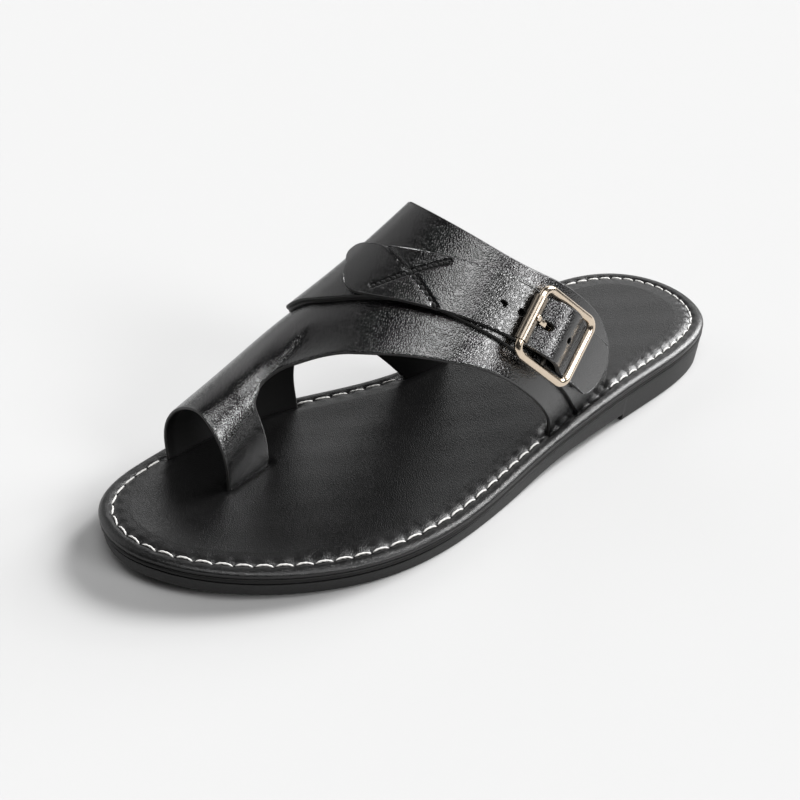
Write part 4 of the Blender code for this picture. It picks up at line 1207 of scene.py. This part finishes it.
def strap_surface(places, aside):
    """Points of the last beside the strap's centre line, and the outward directions there."""
    places, aside = np.broadcast_arrays(np.asarray(places, float), np.asarray(aside, float))
    y = through_rows(STRAP, "around", "y", places)
    slope = (through_rows(STRAP, "around", "y", places + STEP_AROUND)
             - through_rows(STRAP, "around", "y", places - STEP_AROUND))
    slope = slope / (np.clip(places + STEP_AROUND, STRAP[0].around, STRAP[-1].around)
                     - np.clip(places - STEP_AROUND, STRAP[0].around, STRAP[-1].around))
    _, by_around, by_y, _ = foot_axes(y, places)
    along = unit(by_around + by_y * slope[..., None])
    across = unit(np.cross(np.cross(by_around, by_y), along)) * aside[..., None]
    # Moves around the foot and along y that together go straight across the strap
    aa, ab, bb = ((p * q).sum(-1) for p, q in ((by_around, by_around), (by_around, by_y), (by_y, by_y)))
    ra, rb = (by_around * across).sum(-1), (by_y * across).sum(-1)
    whole = aa * bb - ab * ab
    move_around, move_y = (ra * bb - rb * ab) / whole, (rb * aa - ra * ab) / whole
    point, _, _, normal = foot_axes(y + move_y, places + move_around)
    return point, normal * np.sign(normal[..., :1] + normal[..., 2:])


STRAP_PLACES = np.linspace(STRAP[0].around, STRAP[-1].around, STRAP_FINENESS)
STRAP_RUN = run_along(strap_surface(STRAP_PLACES, 0.0)[0])
BUCKLE_RUN = float(np.interp(BUCKLE_AROUND, STRAP_PLACES, STRAP_RUN))


def strap_width(run):
    """Half width of the strap: rounded corners at its sewn end, a half round at its tip."""
    into = np.clip(STRAP_START_RADIUS - run, 0.0, STRAP_START_RADIUS)
    out = np.clip(STRAP_TIP_RADIUS - (STRAP_RUN[-1] - run), 0.0, STRAP_TIP_RADIUS)
    start = STRAP_START_RADIUS - np.sqrt(STRAP_START_RADIUS ** 2 - into ** 2)
    tip = STRAP_TIP_RADIUS - np.sqrt(STRAP_TIP_RADIUS ** 2 - out ** 2)
    return np.maximum(STRAP_HALF_WIDTH - start - tip, STRAP_END_HALF_WIDTH)


def strap_stations():
    """Runs along the strap, closer together at its rounded ends."""
    end = STRAP_RUN[-1]
    turn = np.linspace(0.0, math.pi / 2, STRAP_END_STEPS + 1)
    first = STRAP_START_RADIUS * (1.0 - np.cos(turn))
    last = end - STRAP_TIP_RADIUS * (1.0 - np.cos(turn[::-1]))
    middle = np.linspace(first[-1], last[0], STRAP_COLUMNS - 2 * STRAP_END_STEPS)
    return np.concatenate((first[:-1], middle, last[1:]))


def hump(run):
    """Extra height of the strap where it passes over the centre bar."""
    part = np.clip(np.abs(run - BUCKLE_RUN) / HUMP_HALF_LENGTH, 0.0, 1.0)
    return HUMP_HEIGHT * np.cos(part * math.pi / 2) ** 2


def strap_axes(run):
    """Point of the strap's centre line on the last, with directions along, across and outwards."""
    runs = (run - STEP_ALONG, run, run + STEP_ALONG)
    (before, here, after), normals = strap_surface(np.interp(runs, STRAP_RUN, STRAP_PLACES), 0.0)
    along = unit(after - before)
    normal = unit(normals[1] - along * (normals[1] @ along))
    return here, along, np.cross(normal, along), normal


def axes_matrix(at, *axes):
    """Matrix that carries a shape's own X, Y and Z to three directions at a point."""
    matrix = Matrix.Identity(4)
    for k, axis in enumerate(axes):
        matrix.col[k][:3] = axis
    matrix.translation = Vector(at)
    return matrix


def cross_lines():
    """Both stitched lines on the last, as points and outward directions."""
    lines = []
    for row in CROSS_LINES:
        share = np.linspace(0.0, 1.0, 2 * row.stitches + 1)
        y = row.y_start + (row.y_end - row.y_start) * share
        around = row.around_start + (row.around_end - row.around_start) * share
        point, _, _, normal = foot_axes(y, around)
        lines.append((point, normal * np.sign(normal[:, 2:])))
    return lines


def punch(runs, aside):
    """Open the holes in the strap's table of runs and widths: draw the table round them.

    Gives the drawn tables, the places that fall out and the places on the holes' rims.
    """
    gone = np.zeros(aside.shape, bool)
    rims = np.zeros(aside.shape, bool)
    runs = runs + 0 * aside
    holes = [(reach, HOLE_RADIUS, HOLE_RADIUS) for reach in STRAP_HOLES]
    holes.append((PRONG_SLOT, PRONG_SLOT_HALF_LENGTH, PRONG_SLOT_HALF_WIDTH))
    for reach, half_length, radius in holes:
        ahead = runs - BUCKLE_RUN - reach
        middle = np.clip(ahead, radius - half_length, half_length - radius)
        far = np.hypot(ahead - middle, aside)
        out = far < HOLE_CORE * radius
        beside = out.copy()
        for row in (-1, 0, 1):
            for column in (-1, 0, 1):
                beside |= np.roll(out, (row, column), axis=(0, 1))
        rim = beside & ~out
        drawn = radius + (far - HOLE_CORE * radius) * (HOLE_DRAW - 1.0) / (HOLE_DRAW - HOLE_CORE)
        place = np.where(rim, radius, np.where(far < HOLE_DRAW * radius, drawn, far))
        scale = place / np.maximum(far, HOLE_CENTRE)
        runs = BUCKLE_RUN + reach + middle + (ahead - middle) * scale
        aside = aside * scale
        gone |= out
        rims |= rim
    return runs, aside, gone, rims


def make_strap(finishes):
    """Strap sewn to the band, under the roller, over the centre bar and out under the rear bar."""
    runs = strap_stations()
    aside = strap_width(runs) * np.linspace(-1.0, 1.0, STRAP_ROWS + 1)[:, None]
    runs, aside, gone, rims = punch(runs, aside)
    grid, out = strap_surface(np.interp(runs, STRAP_RUN, STRAP_PLACES), aside)
    dent = np.zeros(aside.shape)
    for line, _ in cross_lines():
        dent = np.maximum(dent, bell(line_distance(grid, line), CROSS_HALF_WIDTH))
    lift = STRAP_LIFT + hump(runs) - CROSS_DEPTH * dent
    shape = new_sheet()
    table = bend_grid(shape, grid + out * lift[..., None], out * STRAP_THICKNESS)
    tight = shape.verts.layers.float["tight"]
    for i, j in np.argwhere(rims):
        table[i, j][tight] = 1.0
    bmesh.ops.delete(shape, geom=[table[i, j] for i, j in np.argwhere(gone)], context="VERTS")
    leather_sheet(shape, True)
    return new_piece("buckle_strap_leather", shape, finishes, "buckle_strap")


def buckle_axes():
    """Centre of the buckle and its own axes: from roller to rear bar, along the bars, and outwards."""
    reach = FRAME_HALF_LENGTH
    for _ in range(FRAME_FIT_STEPS):
        at, _, _, normal = strap_axes(BUCKLE_RUN - reach)
        front = at + normal * ROLLER_LIFT
        at, _, _, normal = strap_axes(BUCKLE_RUN + reach)
        rear = at + normal * REAR_BAR_LIFT
        reach *= 2 * FRAME_HALF_LENGTH / np.linalg.norm(rear - front)
    normal = strap_axes(BUCKLE_RUN)[3]
    along = unit(rear - front)
    bars = unit(np.cross(normal, along))
    return (front + rear) / 2 + bars * BUCKLE_ASIDE, along, bars, np.cross(along, bars)


def ring_of(geometry):
    """The edges among some geometry."""
    return [part for part in geometry if isinstance(part, bmesh.types.BMEdge)]


def make_frame(finishes, to_place):
    """Round wire bent into a rectangle, with its centre bar."""
    shape = bmesh.new()
    side, bar = FRAME_HALF_LENGTH - FRAME_CORNER, FRAME_HALF_WIDTH - FRAME_CORNER
    upright = Matrix.Rotation(math.pi / 2, 4, "X")
    start = Matrix.Translation((FRAME_HALF_LENGTH, -bar, 0.0)) @ upright
    made = bmesh.ops.create_circle(shape, segments=FRAME_SIDES, radius=FRAME_WIRE, matrix=start)["verts"]
    ring = list({edge for vert in made for edge in vert.link_edges})
    for quarter in range(4):
        turned = Matrix.Rotation(quarter * math.pi / 2, 3, "Z")
        length = bar if quarter % 2 == 0 else side
        grown = bmesh.ops.extrude_edge_only(shape, edges=ring)["geom"]
        moved = [part for part in grown if isinstance(part, bmesh.types.BMVert)]
        bmesh.ops.translate(shape, verts=moved, vec=turned @ Vector((0.0, 2 * length, 0.0)))
        ring = [edge for edge in ring_of(grown) if all(vert in set(moved) for vert in edge.verts)]
        middle = sum((vert.co for vert in moved), Vector()) / len(moved)
        centre = middle + turned @ Vector((-FRAME_CORNER, 0.0, 0.0))
        bent = bmesh.ops.spin(
            shape, geom=ring, cent=centre, axis=(0.0, 0.0, 1.0), angle=math.pi / 2, steps=CORNER_STEPS)
        ring = ring_of(bent["geom_last"])
    weld(shape, WELD_WIDE)
    centre_bar = bmesh.ops.create_cone(
        shape, cap_ends=True, segments=FRAME_SIDES, radius1=CENTRE_BAR_RADIUS, radius2=CENTRE_BAR_RADIUS,
        depth=2 * FRAME_HALF_WIDTH, matrix=upright)["verts"]
    # The centre bar's faces take the second finish, which is near-black painted shade.
    for face in {face for vert in centre_bar for face in vert.link_faces}:
        face.material_index = 1
    bmesh.ops.transform(shape, matrix=to_place, verts=shape.verts[:])
    return new_piece("buckle_frame_wire", shape, finishes, "buckle_frame", sharp=50)


def make_roller(finishes, to_place):
    """Sleeve that turns on the frame's front bar, its ends softened."""
    shape = bmesh.new()
    inside, outside, end = ROLLER_BORE, ROLLER_RADIUS, ROLLER_HALF_LENGTH
    soft = ROLLER_CHAMFER
    section = (
        (inside, -end + soft), (inside + soft, -end), (outside - soft, -end), (outside, -end + soft),
        (outside, end - soft), (outside - soft, end), (inside + soft, end), (inside, end - soft),
    )
    corners = [shape.verts.new((radius, along, 0.0)) for radius, along in section]
    edges = [shape.edges.new((a, b)) for a, b in zip(corners, corners[1:] + corners[:1])]
    bmesh.ops.spin(
        shape, geom=corners + edges, cent=(0.0, 0.0, 0.0), axis=(0.0, 1.0, 0.0),
        angle=2 * math.pi, steps=ROLLER_SIDES, use_merge=True)
    weld(shape)
    bmesh.ops.translate(shape, verts=shape.verts[:], vec=(-FRAME_HALF_LENGTH, 0.0, 0.0))
    bmesh.ops.transform(shape, matrix=to_place, verts=shape.verts[:])
    return new_piece("buckle_roller_sleeve", shape, finishes, "buckle_roller", sharp=30)


def prong_path(hole):
    """Middle line of the prong: round the centre bar, under the strap, up its hole and over the roller."""
    eye = np.linspace(PRONG_EYE_START, PRONG_EYE_END, PRONG_EYE_STEPS)
    path = [(PRONG_EYE * math.cos(turn), PRONG_EYE * math.sin(turn)) for turn in eye]
    path += [(hole * part, -PRONG_EYE) for part in PRONG_UNDER_PARTS]
    path += [(hole + ahead, level * PRONG_EYE) for ahead, level in PRONG_BEND]
    for turn in np.linspace(PRONG_REST_START, PRONG_REST_END, PRONG_REST_STEPS):
        path.append((-FRAME_HALF_LENGTH + PRONG_REST * math.cos(turn), PRONG_REST * math.sin(turn)))
    path = np.array(path)
    run = run_along(path)
    places = np.linspace(0.0, run[-1], PRONG_STEPS)
    return np.column_stack([hermite(run, path[:, k], places) for k in range(2)])


def make_prong(finishes, to_place, centre, along, bars):
    """Flat tongue of the buckle."""
    at, _, _, normal = strap_axes(BUCKLE_RUN + PRONG_SLOT)
    hole = at + normal * (STRAP_LIFT + float(hump(BUCKLE_RUN + PRONG_SLOT))) - centre
    path = prong_path(float(hole @ along))
    ahead = unit(np.gradient(path, axis=0))
    turn = 2 * math.pi * np.arange(PRONG_SIDES + 1) / PRONG_SIDES
    rows = []
    last = len(path) - 1
    square = np.sign(np.cos(turn)) * np.abs(np.cos(turn)) ** PRONG_SQUARENESS
    for k, ((reach, level), (forward, upward)) in enumerate(zip(path, ahead)):
        near_end = min(k, last - k)
        fullness = PRONG_END_FULLNESS[near_end] if near_end < len(PRONG_END_FULLNESS) else 1.0
        rise = PRONG_HALF_THICKNESS * fullness * np.sin(turn)
        wide = PRONG_HALF_WIDTH * fullness * square
        rows.append(np.column_stack((reach - upward * rise, wide, level + forward * rise)))
    shape = bmesh.new()
    bend_grid(shape, np.array(rows))
    weld(shape, WELD_CLOSE)
    bmesh.ops.translate(shape, verts=shape.verts[:], vec=(0.0, float(hole @ bars), 0.0))
    bmesh.ops.transform(shape, matrix=to_place, verts=shape.verts[:])
    return new_piece("buckle_prong_tongue", shape, finishes, "buckle_prong", sharp=60)


def stitch_form(length, radius, rise, bow):
    """One stitch of two-ply thread along X: both ends dive, and the middle stands up and bows aside."""
    share = np.linspace(-1.0, 1.0, THREAD_STEPS + 1)
    turn = 2 * math.pi * np.arange(THREAD_SIDES + 1) / THREAD_SIDES
    rows = []
    for s in share:
        size = radius * math.sqrt(max(1.0 - abs(s) ** THREAD_END_POWER, 0.0))
        ply = 1.0 + PLY_DEPTH * np.cos(2.0 * (turn - PLY_TWIST * s))
        middle = rise * (1.0 - abs(s) ** THREAD_ARCH_POWER) - THREAD_SINK * rise
        rows.append(np.column_stack((
            np.full(len(turn), s * length / 2),
            bow * (1.0 - s * s) + size * ply * np.cos(turn),
            middle + size * ply * np.sin(turn),
        )))
    shape = bmesh.new()
    bend_grid(shape, np.array(rows))
    weld(shape, WELD_CLOSE)
    return mesh_of("stitch_form", shape)


def sew(form, places):
    """Copy a stitch to every place."""
    shape = bmesh.new()
    for place in places:
        before = len(shape.verts)
        shape.from_mesh(form)
        shape.verts.ensure_lookup_table()
        bmesh.ops.transform(shape, matrix=place, verts=shape.verts[before:])
    bpy.data.meshes.remove(form)
    return shape


def make_edge_stitches(finishes):
    """White lock stitches round the footbed, left out where the upper stands in their line."""
    places = []
    for k in range(STITCH_COUNT):
        phases = np.array((k, k + 0.5, k + 1))
        plan = np.column_stack([np.interp(phases, STITCH_PHASE, STITCH_RING[:, i]) for i in range(2)])
        if min(float(line_distance(plan[[1]], line)[0]) for line in SLOT_LINES) < STITCH_CLEAR:
            continue
        level = INSOLE_BOTTOM + STITCH_LEVEL - STITCH_BELOW
        points = np.column_stack((plan, level + profile(plan[:, 1])))
        pitch = float(np.linalg.norm(points[2] - points[0]))
        along = (points[2] - points[0]) / pitch
        side = unit(np.array((along[1], -along[0], 0.0)))
        up = np.cross(along, -side)
        turned = along * math.cos(STITCH_SLANT) + side * math.sin(STITCH_SLANT)
        stretch = STITCH_SHARE * pitch / FORM_LENGTH
        places.append(axes_matrix(points[1], turned * stretch, np.cross(up, turned), up))
    form = stitch_form(FORM_LENGTH, STITCH_RADIUS, STITCH_RISE, STITCH_BOW)
    return new_piece("footbed_edge_stitches", sew(form, places), finishes)


def make_cross_stitches(finishes):
    """Two crossed lines of black stitches that hold the strap's sewn end."""
    places = []
    for row, (line, normals) in zip(CROSS_LINES, cross_lines()):
        lifted = line + normals * (STRAP_LIFT + STRAP_THICKNESS - CROSS_DEPTH + CROSS_ABOVE)
        for k in range(row.sunk, row.stitches):
            step = lifted[2 * k + 2] - lifted[2 * k]
            along = unit(step)
            side = unit(np.cross(normals[2 * k + 1], along))
            stretch = CROSS_SHARE * float(np.linalg.norm(step)) / FORM_LENGTH
            places.append(axes_matrix(lifted[2 * k + 1], along * stretch, side, np.cross(along, side)))
    form = stitch_form(FORM_LENGTH, CROSS_RADIUS, CROSS_RISE, 0.0)
    return new_piece("strap_cross_stitches", sew(form, places), finishes)


def make_floor(finish):
    """Wide pale floor; it isn't part of the sandal."""
    shape = bmesh.new()
    bmesh.ops.create_circle(shape, cap_ends=True, segments=FLOOR_SIDES, radius=FLOOR_RADIUS)
    bmesh.ops.translate(shape, verts=shape.verts[:], vec=(0.0, 0.0, -FLOOR_DROP))
    mesh = mesh_of("floor", shape)
    mesh.materials.append(finish)
    floor = add_object("floor", mesh)


def light_room():
    """Dim room with large soft lights, so far away that the floor is lit evenly."""
    world = bpy.data.worlds.new("studio")
    world.use_nodes = True
    bpy.context.scene.world = world
    room = Nodes(world.node_tree)
    way = room.add("ShaderNodeTexCoord", output="Generated")
    total = ROOM_DIM
    for light in SOFT_LIGHTS:
        turn, height = math.radians(light.turn), math.radians(light.height)
        level = math.cos(height)
        towards = (level * math.cos(turn), level * math.sin(turn), math.sin(height))
        ways = {0: way, 1: towards}
        facing = room.add("ShaderNodeVectorMath", {"operation": "DOT_PRODUCT"}, ways, "Value")
        share = room.climb(facing, math.cos(math.radians(light.end)), math.cos(math.radians(light.full)))
        total = total + share * light.strength
    room.feed(world.node_tree.nodes["Background"].inputs["Color"], total)


def set_camera():
    """Camera at the photograph's angle."""
    turn, height = CAMERA_TURN, CAMERA_HEIGHT
    level = math.cos(height)
    back = Vector((math.sin(turn) * level, -math.cos(turn) * level, math.sin(height)))
    right = Vector((math.cos(turn), math.sin(turn), 0.0))
    lens = bpy.data.cameras.new("camera")
    lens.lens = CAMERA_LENS
    lens.sensor_width = CAMERA_SENSOR
    lens.clip_start = CAMERA_CLIP
    camera = add_object("camera", lens)
    camera.matrix_world = axes_matrix(
        Vector(CAMERA_TARGET) + back * CAMERA_DISTANCE, right, back.cross(right), back)
    bpy.context.scene.camera = camera


def main():
    """Set up the studio and make the sandal's pieces."""
    bpy.context.scene.view_settings.view_transform = "Standard"
    set_camera()
    light_room()
    make_floor(pale_floor())
    grain, lining = grain_leather(), lining_leather()
    # The vamp's cut edge is paler than the band's and the strap's. Part of this is the edge's own colour
    # and part is a painted highlight for the light line that its rounded rim catches.
    pale_edge_painted_highlight = cut_edge("pale_cut_edge", colour(0.010, 0.010, 0.010), colour(0.035, 0.034, 0.033))
    dark_edge = cut_edge("dark_cut_edge", colour(0.005, 0.005, 0.005), colour(0.014, 0.014, 0.013))
    footbed = make_footbed((footbed_leather(),))
    make_bead((bead_leather(),))
    make_outsole((sole_rubber(),))
    make_vamp((grain, lining, pale_edge_painted_highlight))
    make_band((grain, lining, dark_edge))
    make_strap((grain, lining, dark_edge))
    gold = champagne_gold(
        "champagne_gold", colour(0.70, 0.585, 0.455), colour(0.78, 0.660, 0.530), 0.12)
    brushed = champagne_gold(
        "brushed_gold", colour(0.28, 0.240, 0.194), colour(0.34, 0.292, 0.238), 0.24)
    centre, along, bars, outwards = buckle_axes()
    to_place = axes_matrix(centre, along, bars, outwards)
    # The frame's second finish is painted shade on its centre bar.
    make_frame((gold, dark_bar()), to_place)
    make_roller((brushed,), to_place)
    make_prong((gold,), to_place, centre, along, bars)
    white = thread("white_thread", colour(0.58, 0.57, 0.55), colour(0.74, 0.73, 0.71))
    black = thread("black_thread", colour(0.002, 0.002, 0.002), colour(0.006, 0.006, 0.006))
    make_edge_stitches((white,))
    make_cross_stitches((black,))


main()
